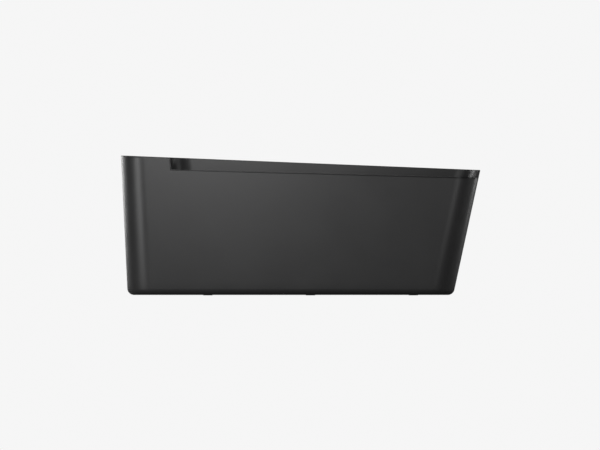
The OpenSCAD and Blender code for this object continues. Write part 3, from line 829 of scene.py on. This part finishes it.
def mixed(tree, fac, a, b):
    """Two colours mixed by a value."""
    node = tree.nodes.new("ShaderNodeMix")
    node.data_type = "RGBA"
    for target, value in ((0, fac), (6, a), (7, b)):
        if isinstance(value, (int, float)):
            node.inputs[target].default_value = value
        elif isinstance(value, tuple):
            node.inputs[target].default_value = value
        else:
            tree.links.new(value, node.inputs[target])
    return node.outputs[2]


def group_noise(tree, gin, scale):
    """A noise texture inside a group, on its Vector input and with the scale of a named input."""
    return add(tree, "ShaderNodeTexNoise", [("Vector", gin.outputs["Vector"]), ("Scale", gin.outputs[scale])])


def edge_wear_group():
    """Mask of worn edges: the surface's pointiness above its middle value, broken up by noise."""
    tree, gin, gout = new_group(
        "Edge wear",
        [("Vector", "NodeSocketVector", (0, 0, 0)), ("Amount", "NodeSocketFloat", 0.5),
         ("Start", "NodeSocketFloat", 0.52), ("Break-up scale", "NodeSocketFloat", 60.0)],
        [("Mask", "NodeSocketFloat")],
    )
    if gin is None:
        return tree
    point = tree.nodes.new("ShaderNodeNewGeometry").outputs["Pointiness"]
    end = maths(tree, "ADD", gin.outputs["Start"], 0.06)
    edge = ramp(tree, point, gin.outputs["Start"], end)
    node = group_noise(tree, gin, "Break-up scale")
    patch = ramp(tree, node.outputs["Fac"], 0.42, 0.62)
    mask = maths(tree, "MULTIPLY", maths(tree, "MULTIPLY", edge, patch), gin.outputs["Amount"], clamp=True)
    tree.links.new(mask, gout.inputs["Mask"])
    return tree


def painted_rim_shade_group():
    """Mask of the painted shade along the entry rim's top edge, standing in for the dark its rounding reflects
    from above: 1 at the rim plane, fading out below it.

    The depth below the plane is Height + Fall x - z. It counts only past the ledge and on the entry side.
    """
    tree, gin, gout = new_group(
        "Painted rim shade",
        [("Vector", "NodeSocketVector", (0, 0, 0)), ("Height", "NodeSocketFloat", 0.58),
         ("Fall", "NodeSocketFloat", -0.02), ("Depth", "NodeSocketFloat", 0.007),
         ("Ledge end", "NodeSocketFloat", -0.6), ("Side", "NodeSocketFloat", -0.3)],
        [("Mask", "NodeSocketFloat")],
    )
    if gin is None:
        return tree
    place = add(tree, "ShaderNodeSeparateXYZ", [("Vector", gin.outputs["Vector"])]).outputs
    plane = maths(tree, "ADD", gin.outputs["Height"], maths(tree, "MULTIPLY", gin.outputs["Fall"], place["X"]))
    depth = maths(tree, "SUBTRACT", plane, place["Z"])
    fade = ramp(tree, depth, gin.outputs["Depth"], maths(tree, "MULTIPLY", gin.outputs["Depth"], 0.6))
    past = maths(tree, "GREATER_THAN", place["X"], gin.outputs["Ledge end"])
    side = maths(tree, "LESS_THAN", place["Y"], gin.outputs["Side"])
    tree.links.new(maths(tree, "MULTIPLY", fade, maths(tree, "MULTIPLY", past, side)), gout.inputs["Mask"])
    return tree


def grain_group():
    """Fine grain of a moulded or coated surface: two noises for height, one broad noise for tone."""
    tree, gin, gout = new_group(
        "Surface grain",
        [("Vector", "NodeSocketVector", (0, 0, 0)), ("Fine scale", "NodeSocketFloat", 1800.0),
         ("Broad scale", "NodeSocketFloat", 6.0), ("Wave", "NodeSocketFloat", 0.3)],
        [("Height", "NodeSocketFloat"), ("Broad", "NodeSocketFloat"), ("Fine", "NodeSocketFloat")],
    )
    if gin is None:
        return tree
    fine = group_noise(tree, gin, "Fine scale")
    fine.inputs["Detail"].default_value = 2.0
    broad = group_noise(tree, gin, "Broad scale")
    broad.inputs["Detail"].default_value = 4.0
    wave = maths(tree, "MULTIPLY", broad.outputs["Fac"], gin.outputs["Wave"])
    tree.links.new(maths(tree, "ADD", fine.outputs["Fac"], wave), gout.inputs["Height"])
    tree.links.new(broad.outputs["Fac"], gout.inputs["Broad"])
    tree.links.new(fine.outputs["Fac"], gout.inputs["Fine"])
    return tree


def dust_group():
    """Mask of dust on surfaces that face up: the normal's height, broken up by noise."""
    tree, gin, gout = new_group(
        "Dust",
        [("Vector", "NodeSocketVector", (0, 0, 0)), ("Amount", "NodeSocketFloat", 0.2),
         ("Scale", "NodeSocketFloat", 9.0)],
        [("Mask", "NodeSocketFloat")],
    )
    if gin is None:
        return tree
    normal = tree.nodes.new("ShaderNodeNewGeometry").outputs["Normal"]
    split = add(tree, "ShaderNodeSeparateXYZ", [("Vector", normal)])
    up = ramp(tree, split.outputs["Z"], 0.55, 0.98)
    node = group_noise(tree, gin, "Scale")
    node.inputs["Detail"].default_value = 5.0
    patch = ramp(tree, node.outputs["Fac"], 0.38, 0.72)
    mask = maths(tree, "MULTIPLY", maths(tree, "MULTIPLY", up, patch), gin.outputs["Amount"], clamp=True)
    tree.links.new(mask, gout.inputs["Mask"])
    return tree


def use_group(tree, group, **values):
    """A group placed in a material, with its inputs set; underscores in a name stand for spaces."""
    node = tree.nodes.new("ShaderNodeGroup")
    node.node_tree = group
    for key, value in values.items():
        socket = node.inputs[key.replace("_", " ")]
        if isinstance(value, (int, float)):
            socket.default_value = value
        else:
            tree.links.new(value, socket)
    return node


# ---------- materials ----------


def shade(c, k):
    """A colour scaled and given an alpha of one."""
    return (min(c[0] * k, 1.0), min(c[1] * k, 1.0), min(c[2] * k, 1.0), 1.0)


def start_material(name):
    """A new material with its Principled shader and object coordinates."""
    mat = bpy.data.materials.new(name)
    mat.use_nodes = True
    tree = mat.node_tree
    shader = tree.nodes["Principled BSDF"]
    coords = tree.nodes.new("ShaderNodeTexCoord").outputs["Object"]
    return mat, tree, shader, coords


def bump_into(tree, shader, height, strength, distance):
    """A bump of the given height on the shader's normal."""
    node = tree.nodes.new("ShaderNodeBump")
    node.inputs["Strength"].default_value = strength
    node.inputs["Distance"].default_value = distance
    tree.links.new(height, node.inputs["Height"])
    tree.links.new(node.outputs["Normal"], shader.inputs["Normal"])


def coated_material(name, colour, rough, fine_scale, bump, worn, dusty, metal=0.0, rim=None):
    """A smooth coat or moulding: grain, soft tone changes, worn edges and a little dust.

    worn is (amount, worn colour scale), dusty is the most dust that shows, and rim gives the rim lines of a tub
    whose entry rim gets a painted shade line along its top edge.
    """
    mat, tree, shader, coords = start_material(name)
    grain = use_group(tree, grain_group(), Vector=coords, Fine_scale=fine_scale, Broad_scale=5.0)
    wear = use_group(tree, edge_wear_group(), Vector=coords, Amount=worn[0])
    dust = use_group(tree, dust_group(), Vector=coords, Amount=dusty)
    base = mixed(tree, ramp(tree, grain.outputs["Broad"], 0.3, 0.7), shade(colour, 0.94), shade(colour, 1.06))
    base = mixed(tree, wear.outputs["Mask"], base, shade(colour, worn[1]))
    base = mixed(tree, dust.outputs["Mask"], base, (0.35, 0.34, 0.33, 1.0))
    # painted shade: the entry rim's top edge is darkened where its rounding stands for the dark reflected from
    # above
    if rim:
        height, fall = rim.entry
        rim_shade = use_group(
            tree, painted_rim_shade_group(), Vector=coords, Height=height, Fall=fall, Ledge_end=rim.ledge_x
        )
        base = mixed(tree, rim_shade.outputs["Mask"], base, shade(colour, PAINTED_RIM_SHADE))
    tree.links.new(base, shader.inputs["Base Color"])
    rough_value = ramp(tree, grain.outputs["Broad"], 0.25, 0.75, rough - 0.02, rough + 0.02)
    rough_value = maths(tree, "SUBTRACT", rough_value, maths(tree, "MULTIPLY", wear.outputs["Mask"], 0.08))
    dusted = maths(tree, "MULTIPLY", dust.outputs["Mask"], 0.4)
    rough_value = maths(tree, "ADD", rough_value, dusted, clamp=True)
    tree.links.new(rough_value, shader.inputs["Roughness"])
    shader.inputs["Metallic"].default_value = metal
    bump_into(tree, shader, grain.outputs["Height"], bump, 0.0002)
    return mat


def plywood_material(name, colour, stretch):
    """Birch plywood: long grain from noise stretched along one axis, with darker streaks and knots."""
    mat, tree, shader, coords = start_material(name)
    mapping = add(tree, "ShaderNodeMapping", [("Vector", coords)])
    mapping.inputs["Scale"].default_value = stretch
    streak = noise(tree, mapping.outputs["Vector"], 14.0, 6.0, 0.6)
    pores = noise(tree, mapping.outputs["Vector"], 160.0, 2.0)
    patch = noise(tree, coords, 3.0, 2.0)
    base = mixed(tree, ramp(tree, streak, 0.35, 0.65), shade(colour, 0.72), shade(colour, 1.12))
    base = mixed(tree, ramp(tree, patch, 0.4, 0.7, 0.0, 0.35), base, shade(colour, 0.8))
    tree.links.new(base, shader.inputs["Base Color"])
    tree.links.new(ramp(tree, pores, 0.3, 0.7, 0.62, 0.78), shader.inputs["Roughness"])
    bump_into(tree, shader, maths(tree, "ADD", pores, streak), 0.35, 0.0006)
    return mat


def metal_material(name, colour, rough, brushed, tarnish):
    """Plated or turned metal: brushing lines, tone changes and darker tarnish in patches."""
    mat, tree, shader, coords = start_material(name)
    mapping = add(tree, "ShaderNodeMapping", [("Vector", coords)])
    mapping.inputs["Scale"].default_value = (1.0, 1.0, brushed)
    lines = noise(tree, mapping.outputs["Vector"], 260.0, 3.0)
    patch = noise(tree, coords, 45.0, 4.0)
    wear = use_group(tree, edge_wear_group(), Vector=coords, Amount=0.7)
    base = mixed(tree, ramp(tree, patch, 0.45, 0.75, 0.0, tarnish), shade(colour, 1.0), shade(colour, 0.45))
    base = mixed(tree, wear.outputs["Mask"], base, shade(colour, 1.25))
    tree.links.new(base, shader.inputs["Base Color"])
    tree.links.new(ramp(tree, lines, 0.3, 0.7, rough - 0.06, rough + 0.1), shader.inputs["Roughness"])
    shader.inputs["Metallic"].default_value = 1.0
    bump_into(tree, shader, lines, 0.12, 0.0002)
    return mat


def finishes():
    """Every finish by its material slot, made once."""
    c = colours()
    if "finish tub_shell" in bpy.data.materials:
        return {name: bpy.data.materials["finish " + name] for name in FINISH_SLOTS}
    return {
        # the tub's coat carries the painted shade line along the entry rim's top edge
        "tub_shell": coated_material(
            "finish tub_shell", c.shell, 0.38, 2600.0, 0.10, (0.6, 0.6), 0.010, rim=RimLines(sizes())
        ),
        "black_trim": coated_material("finish black_trim", c.trim, 0.34, 3200.0, 0.18, (0.5, 2.4), 0.02),
        "plywood": plywood_material("finish plywood", c.ply, (0.12, 1.0, 1.0)),
        "frame_steel": coated_material(
            "finish frame_steel", c.primer, 0.55, 1400.0, 0.35, (0.8, 2.2), 0.10, 0.2
        ),
        "zinc_steel": metal_material("finish zinc_steel", c.zinc, 0.32, 0.15, 0.45),
        "brass": metal_material("finish brass", c.brass, 0.28, 0.10, 0.60),
        "rubber": coated_material("finish rubber", c.rubber, 0.72, 1500.0, 0.45, (0.5, 2.8), 0.08),
        "pipe_plastic": coated_material("finish pipe_plastic", c.pipe, 0.42, 1700.0, 0.15, (0.35, 1.15), 0.06),
        "hose_plastic": coated_material("finish hose_plastic", c.hose, 0.48, 1700.0, 0.20, (0.4, 1.3), 0.08),
    }


FINISH_SLOTS = (
    "tub_shell", "black_trim", "plywood", "frame_steel", "zinc_steel", "brass", "rubber", "pipe_plastic",
    "hose_plastic",
)


# ---------- operators ----------


class TUB_OT_shells(bpy.types.Operator):
    """Make the basin with its rim and ledge, and the skirt below it."""

    bl_idname = "tub.shells"
    bl_label = "Basin and skirt"

    def execute(self, context):
        run = RimRun(sizes())
        shell = finishes()["tub_shell"]
        basin = grid_object("basin_shell", basin_grid(run))
        finish_piece(basin, TUB, "tub_shell", shell, "inner_basin")
        skirt = grid_object("skirt_shell", skirt_grid(run))
        finish_piece(skirt, TUB, "tub_shell", shell, "outer_skirt")
        return {"FINISHED"}


class TUB_OT_plug(bpy.types.Operator):
    """Make the waste plug's domed cap."""

    bl_idname = "tub.plug"
    bl_label = "Waste plug"

    def execute(self, context):
        centre = (CAP_BOX[0] + CAP_BOX[1]) / 2
        r, z0, z1 = (CAP_BOX[1].x - CAP_BOX[0].x) / 2, CAP_BOX[0].z, CAP_BOX[1].z
        edge = rounded_profile(
            [(0.0, z0), (r - 0.0012, z0), (r, z0 + 0.0012), (r, z0 + 0.0032),
             (r * 0.88, z1 - 0.0007), (r * 0.5, z1)],
            [0.0, 0.0008, 0.0016, 0.0120],
        )
        crown = np.stack([np.linspace(r * 0.5, 0, 8)[1:], np.full(7, z1)], -1)
        cap = lathe("plug_dome", np.concatenate([edge, crown]), centre, 128)
        finish_piece(cap, PLUG, "black_trim", finishes()["black_trim"], "plug_cap")
        return {"FINISHED"}


def slot_outline(half_len, r, side_steps, arc_steps):
    """Outline of a round-ended slot about its middle.

    The straight sides are x = +-r, the ends are half circles of radius r round y = +-half_len.
    """
    y = np.linspace(-half_len, half_len, side_steps)
    a = np.linspace(0, math.pi, arc_steps)[1:-1]
    x = np.concatenate([r + 0 * y, r * np.cos(a), -r + 0 * y, -r * np.cos(a)])
    return np.stack([x, np.concatenate([y, half_len + r * np.sin(a), -y, -half_len - r * np.sin(a)])], -1)


def cover_grid(s):
    """Rows of points of the overflow cover: up its rim, in over its face to the slot, through the slot,
    out along the hollow behind it and back to the wall.

    Each ring is where rays from the slot's middle c in the directions d of its outline meet a circle of
    radius R round the cover's middle: c + t d, with t = sqrt((c.d)^2 - c.c + R^2) - c.d.
    """
    middle = np.array([0.013, 0.0])
    slot = slot_outline(0.017, 0.005, 40, 14)
    d = unit(slot)
    slot = middle + slot
    back, hollow, soft = s.cover_t - 0.003, s.cover_r - 0.0085, 0.0022
    ring = lambda r: middle + (np.sqrt(dot(middle, d) ** 2 - middle @ middle + r * r) - dot(middle, d)) * d
    rows = [(ring(s.cover_r), 0.0), (ring(s.cover_r), 0.002), (ring(s.cover_r), s.cover_t - soft - 0.0008)]
    rows += [
        (ring(s.cover_r - soft + soft * math.cos(t)), s.cover_t - soft + soft * math.sin(t))
        for t in np.linspace(0, math.pi / 2, 8)
    ]
    flat, slot_wide = ring(s.cover_r - soft), slot + d * 0.0006
    rows += [(flat + (slot_wide - flat) * f, s.cover_t) for f in (0.03, 0.3, 0.65, 0.97, 1.0)]
    rows += [(slot, s.cover_t - 0.0006), (slot, back)]
    rows += [(slot + (ring(hollow) - slot) * f, back) for f in (0.5, 1.0)]
    rows += [(ring(hollow), 0.0)]
    return np.array([np.column_stack([xy, np.full(len(xy), z)]) for xy, z in rows])


def on_ledge_wall(points, s):
    """Points moved from the cover's own frame to the ledge wall: x down the wall, z into the basin."""
    x0, lean = RimLines(s).ledge_wall_x(s.overflow_z), s.basin_tap_lean
    down = np.array([math.sin(lean), 0, -math.cos(lean)])
    out = np.array([math.cos(lean), 0, math.sin(lean)])
    side = np.array([0, 1.0, 0])
    at = np.array([x0, 0, s.overflow_z])
    return at + points[..., :1] * down + points[..., 1:2] * side + points[..., 2:] * out


def hose_grid(s, sides=28, per_rib=8):
    """Rows of points of the ribbed hose along its route: down, round one quarter bend and along.

    The radius is r - g (1 - cos(2 pi d / p)) / 2 at distance d, with groove depth g and rib pitch p, and
    the ribs stop short of both ends. The bore is a plain tube inside it.
    """
    x0 = HOSE_BOX[0].x + s.hose_r
    z0, top, x1 = HOSE_BOX[0].z + s.hose_r, HOSE_BOX[1].z, HOSE_BOX[1].x
    bend = s.hose_bend_r
    down, turn = top - z0 - bend, bend * math.pi / 2
    total = down + turn + (x1 - x0 - bend)
    plain_end, rib_start = 0.022, 0.004
    steps = int(total / s.hose_rib) * per_rib
    d = np.linspace(0, total, steps + 1)
    t = np.clip((d - down) / bend, 0, math.pi / 2)
    over = np.maximum(d - down - turn, 0)
    x = x0 + bend * (1 - np.cos(t)) + over
    z = top - np.minimum(d, down) - bend * np.sin(t)
    inside = np.clip((np.minimum(d, total - d) - plain_end) / rib_start, 0, 1)
    rib = s.hose_r - s.hose_groove * inside * (1 - np.cos(2 * math.pi * d / s.hose_rib)) / 2
    bore = np.full_like(d, s.hose_r - s.hose_wall)
    a = np.linspace(0, 2 * math.pi, sides, endpoint=False)

    def tube(radius, pick):
        r, tt = radius[pick][:, None], t[pick][:, None]
        px = x[pick][:, None] + r * np.cos(a) * np.cos(tt)
        pz = z[pick][:, None] + r * np.cos(a) * np.sin(tt)
        return np.stack([px, r * np.sin(a) + 0 * px, pz], -1)

    back = np.arange(steps, -1, -4)
    return np.concatenate([tube(rib, np.arange(steps + 1)), tube(bore, back)])


class TUB_OT_overflow(bpy.types.Operator):
    """Make the overflow's cover and its ribbed hose."""

    bl_idname = "tub.overflow"
    bl_label = "Overflow"

    def execute(self, context):
        s, made = sizes(), finishes()
        cover = grid_object("overflow_face", on_ledge_wall(cover_grid(s), s))
        finish_piece(cover, TUB, "black_trim", made["black_trim"], "overflow_cover")
        hose = grid_object("ribbed_hose", hose_grid(s))
        finish_piece(hose, TUB, "hose_plastic", made["hose_plastic"], "overflow_hose")
        return {"FINISHED"}


class TUB_OT_feet(bpy.types.Operator):
    """Make the ribbed rubber pads of the feet."""

    bl_idname = "tub.feet"
    bl_label = "Foot pads"

    def execute(self, context):
        rubber = finishes()["rubber"]
        for n in range(1, FOOT_COUNT + 1):
            lo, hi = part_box(f"foot_{n}_pad")
            r, h = (hi.x - lo.x) / 2, hi.z - lo.z
            groove, seat, recess = 0.0008, r - 0.004, h - 0.005
            side = [(0.0, 0.0), (r, 0.0)]
            for low in (0.22, 0.42, 0.62):
                side += [(r, h * low), (r - groove, h * low + groove), (r, h * low + 2 * groove)]
            side += [(r, h), (seat, h), (seat, recess), (0.0, recess)]
            soft = [0.0012] + [0.0] * 9 + [0.0010, 0.0, 0.0]
            profile = rounded_profile(side, soft) + np.array([0, lo.z])
            pad = lathe(f"foot_{n}_tread", profile, (lo + hi) / 2, 64)
            finish_piece(pad, f"foot_{n}", "rubber", rubber, f"foot_{n}_pad")
        return {"FINISHED"}


class TUB_OT_finish_frame(bpy.types.Operator):
    """Give every carried-over part of the frame its finish."""

    bl_idname = "tub.finish_frame"
    bl_label = "Finish the inner parts"

    def execute(self, context):
        made = finishes()
        slots = {p["node"]: p["material_slot"] for p in frame["record"]["subparts"]}
        for name, obj in frame["nodes"].items():
            if obj.hide_render:
                continue
            obj.data.materials.clear()
            obj.data.materials.append(made[slots[name]])
        return {"FINISHED"}


class TUB_OT_stage(bpy.types.Operator):
    """Set the floor, the soft lights, the surround and the camera."""

    bl_idname = "tub.stage"
    bl_label = "Studio"

    def execute(self, context):
        make_floor()
        make_lights()
        make_surround()
        make_camera()
        return {"FINISHED"}


# ---------- studio ----------

PALE = 0.92             # brightness of the floor and surround to the camera
FLOOR_SHADE = 0.35      # brightness of the floor where it is fully hidden under the tub
SHADE_REACH = 0.9       # distance over which the tub shades the floor
BOUNCE = 0.22           # share of the light that the floor throws back at the tub


def make_floor():
    """A wide pale floor just under the feet, as one flat disc.

    The camera sees it evenly pale with a soft shade where the tub stands; as a light it is darker.
    """
    a = np.linspace(0, 2 * math.pi, 64, endpoint=False)
    radii = np.array([0.001, 1.0, 3.0, 8.0, 20.0])[:, None]
    grid = np.stack([radii * np.cos(a), radii * np.sin(a), 0 * radii * a - 0.0005], -1)
    floor = grid_object("studio_floor", grid, row_wraps=False)
    mat = bpy.data.materials.new("studio floor")
    mat.use_nodes = True
    tree = mat.node_tree
    shader = tree.nodes["Principled BSDF"]
    shader.inputs["Base Color"].default_value = (BOUNCE, BOUNCE, BOUNCE, 1)
    shader.inputs["Roughness"].default_value = 0.85
    shade = tree.nodes.new("ShaderNodeAmbientOcclusion")
    shade.samples = 16
    shade.inputs["Distance"].default_value = SHADE_REACH
    glow = tree.nodes.new("ShaderNodeEmission")
    dark = (FLOOR_SHADE, FLOOR_SHADE, FLOOR_SHADE, 1)
    tree.links.new(mixed(tree, shade.outputs["AO"], dark, (PALE, PALE, PALE, 1)), glow.inputs["Color"])
    mix = tree.nodes.new("ShaderNodeMixShader")
    tree.links.new(tree.nodes.new("ShaderNodeLightPath").outputs["Is Camera Ray"], mix.inputs[0])
    tree.links.new(shader.outputs[0], mix.inputs[1])
    tree.links.new(glow.outputs[0], mix.inputs[2])
    tree.links.new(mix.outputs[0], tree.nodes["Material Output"].inputs["Surface"])
    floor.data.materials.append(mat)


def soft_light(name, place, target, width, height, power):
    """A rectangular soft light aimed at a point."""
    light = bpy.data.lights.new(name, "AREA")
    light.shape, light.size, light.size_y, light.energy = "RECTANGLE", width, height, power
    obj = bpy.data.objects.new(name, light)
    obj.location = place
    obj.rotation_euler = (Vector(target) - Vector(place)).to_track_quat("-Z", "Y").to_euler()
    bpy.context.scene.collection.objects.link(obj)
    return obj


SOFT_LIGHTS = (
    # name, place, aim, width, height, power
    ("high_behind", (0.0, 1.2, 3.0), (0.0, 0.1, 0.1), 2.4, 1.0, 24),
    ("high_tap_end", (-2.2, 1.65, 2.0), (0.8, 0.25, 0.6), 0.9, 0.7, 12),
    ("front_high", (-0.1, -2.3, 1.3), (-0.5, 0.35, 0.6), 0.7, 0.7, 4),
    ("near_front_high", (-0.9, -1.6, 1.15), (-0.5, 0.35, 0.6), 0.6, 0.4, 6),
    ("front_tap_end", (-0.4, -2.9, 0.75), (-0.85, -0.35, 0.5), 0.9, 0.9, 14),
    ("front_back_end", (1.7, -2.9, 0.5), (0.75, -0.3, 0.4), 0.6, 0.9, 9),
    ("side_front", (-2.3, -2.45, 0.45), (-0.8, -0.3, 0.4), 0.6, 0.85, 13),
    ("side_tap_end", (-2.75, -2.05, 0.45), (-0.8, -0.3, 0.4), 0.6, 0.85, 7),
    ("rear_tap_end", (-3.25, 1.3, 1.0), (-0.85, -0.35, 0.5), 0.9, 1.6, 13),
    ("behind_tap_end", (-2.35, 2.2, 1.0), (-0.85, -0.35, 0.5), 0.9, 1.6, 24),
    ("side_back_end", (3.75, -0.35, 1.0), (0.8, -0.35, 0.5), 0.9, 1.6, 13),
    ("rear_back_end", (2.9, 1.5, 0.65), (0.75, -0.3, 0.4), 0.6, 1.2, 13),
)


def make_lights():
    """Soft lights round the tub, brightest in front of the tap end and behind both ends."""
    for light in SOFT_LIGHTS:
        soft_light(*light)


def make_surround():
    """The pale surround: seen as it is by the camera, and dimmer as a light."""
    world = bpy.data.worlds.new("studio surround")
    bpy.context.scene.world = world
    world.use_nodes = True
    tree = world.node_tree
    out = tree.nodes["World Output"]
    seen = tree.nodes["Background"]
    seen.inputs["Color"].default_value = (PALE, PALE, PALE, 1)
    lit = tree.nodes.new("ShaderNodeBackground")
    lit.inputs["Color"].default_value = (1, 1, 1, 1)
    lit.inputs["Strength"].default_value = 0.02
    mix = tree.nodes.new("ShaderNodeMixShader")
    path = tree.nodes.new("ShaderNodeLightPath")
    tree.links.new(path.outputs["Is Camera Ray"], mix.inputs[0])
    tree.links.new(lit.outputs[0], mix.inputs[1])
    tree.links.new(seen.outputs[0], mix.inputs[2])
    tree.links.new(mix.outputs[0], out.inputs["Surface"])


VIEW_WIDTH = 1.6695      # width of the picture, in lengths of the tub
VIEW_CENTRE_X = -0.0030
VIEW_CENTRE_Z = 0.3329


def make_camera():
    """A level camera square to the entry side, with no perspective."""
    lo, hi = CAD_BOX
    cam = bpy.data.cameras.new("camera")
    cam.type = "ORTHO"
    cam.ortho_scale = VIEW_WIDTH * (hi.x - lo.x)
    cam.clip_end = 60
    obj = bpy.data.objects.new("camera", cam)
    obj.location = (VIEW_CENTRE_X, lo.y - 4.0, VIEW_CENTRE_Z)
    obj.rotation_euler = (math.radians(90), 0, 0)
    bpy.context.scene.collection.objects.link(obj)
    bpy.context.scene.camera = obj
    bpy.context.scene.view_settings.view_transform = "Standard"


# ---------- panel ----------

OPERATORS = (TUB_OT_shells, TUB_OT_plug, TUB_OT_overflow, TUB_OT_feet, TUB_OT_finish_frame, TUB_OT_stage)


class TUB_PT_panel(bpy.types.Panel):
    """The bathtub's steps and sizes."""

    bl_idname = "TUB_PT_panel"
    bl_label = "Freestanding bathtub"
    bl_space_type = "VIEW_3D"
    bl_region_type = "UI"
    bl_category = "Bathtub"

    def draw(self, context):
        for step in OPERATORS:
            self.layout.operator(step.bl_idname)
        for group in (sizes(), colours()):
            for key in group.__annotations__:
                self.layout.prop(group, key)


CLASSES = (TubSizes, TubColours, *OPERATORS, TUB_PT_panel)


def register():
    """Registers the classes and the scene's sizes and colours."""
    for cls in CLASSES:
        bpy.utils.register_class(cls)
    bpy.types.Scene.tub_sizes = bpy.props.PointerProperty(type=TubSizes)
    bpy.types.Scene.tub_colours = bpy.props.PointerProperty(type=TubColours)


def unregister():
    """Takes the classes and the scene's sizes and colours away again."""
    del bpy.types.Scene.tub_colours
    del bpy.types.Scene.tub_sizes
    for cls in reversed(CLASSES):
        bpy.utils.unregister_class(cls)


def main():
    """Builds every piece in order."""
    register()
    bpy.ops.tub.shells()
    bpy.ops.tub.plug()
    bpy.ops.tub.overflow()
    bpy.ops.tub.feet()
    bpy.ops.tub.finish_frame()
    bpy.ops.tub.stage()


if __name__ == "__main__":
    main()
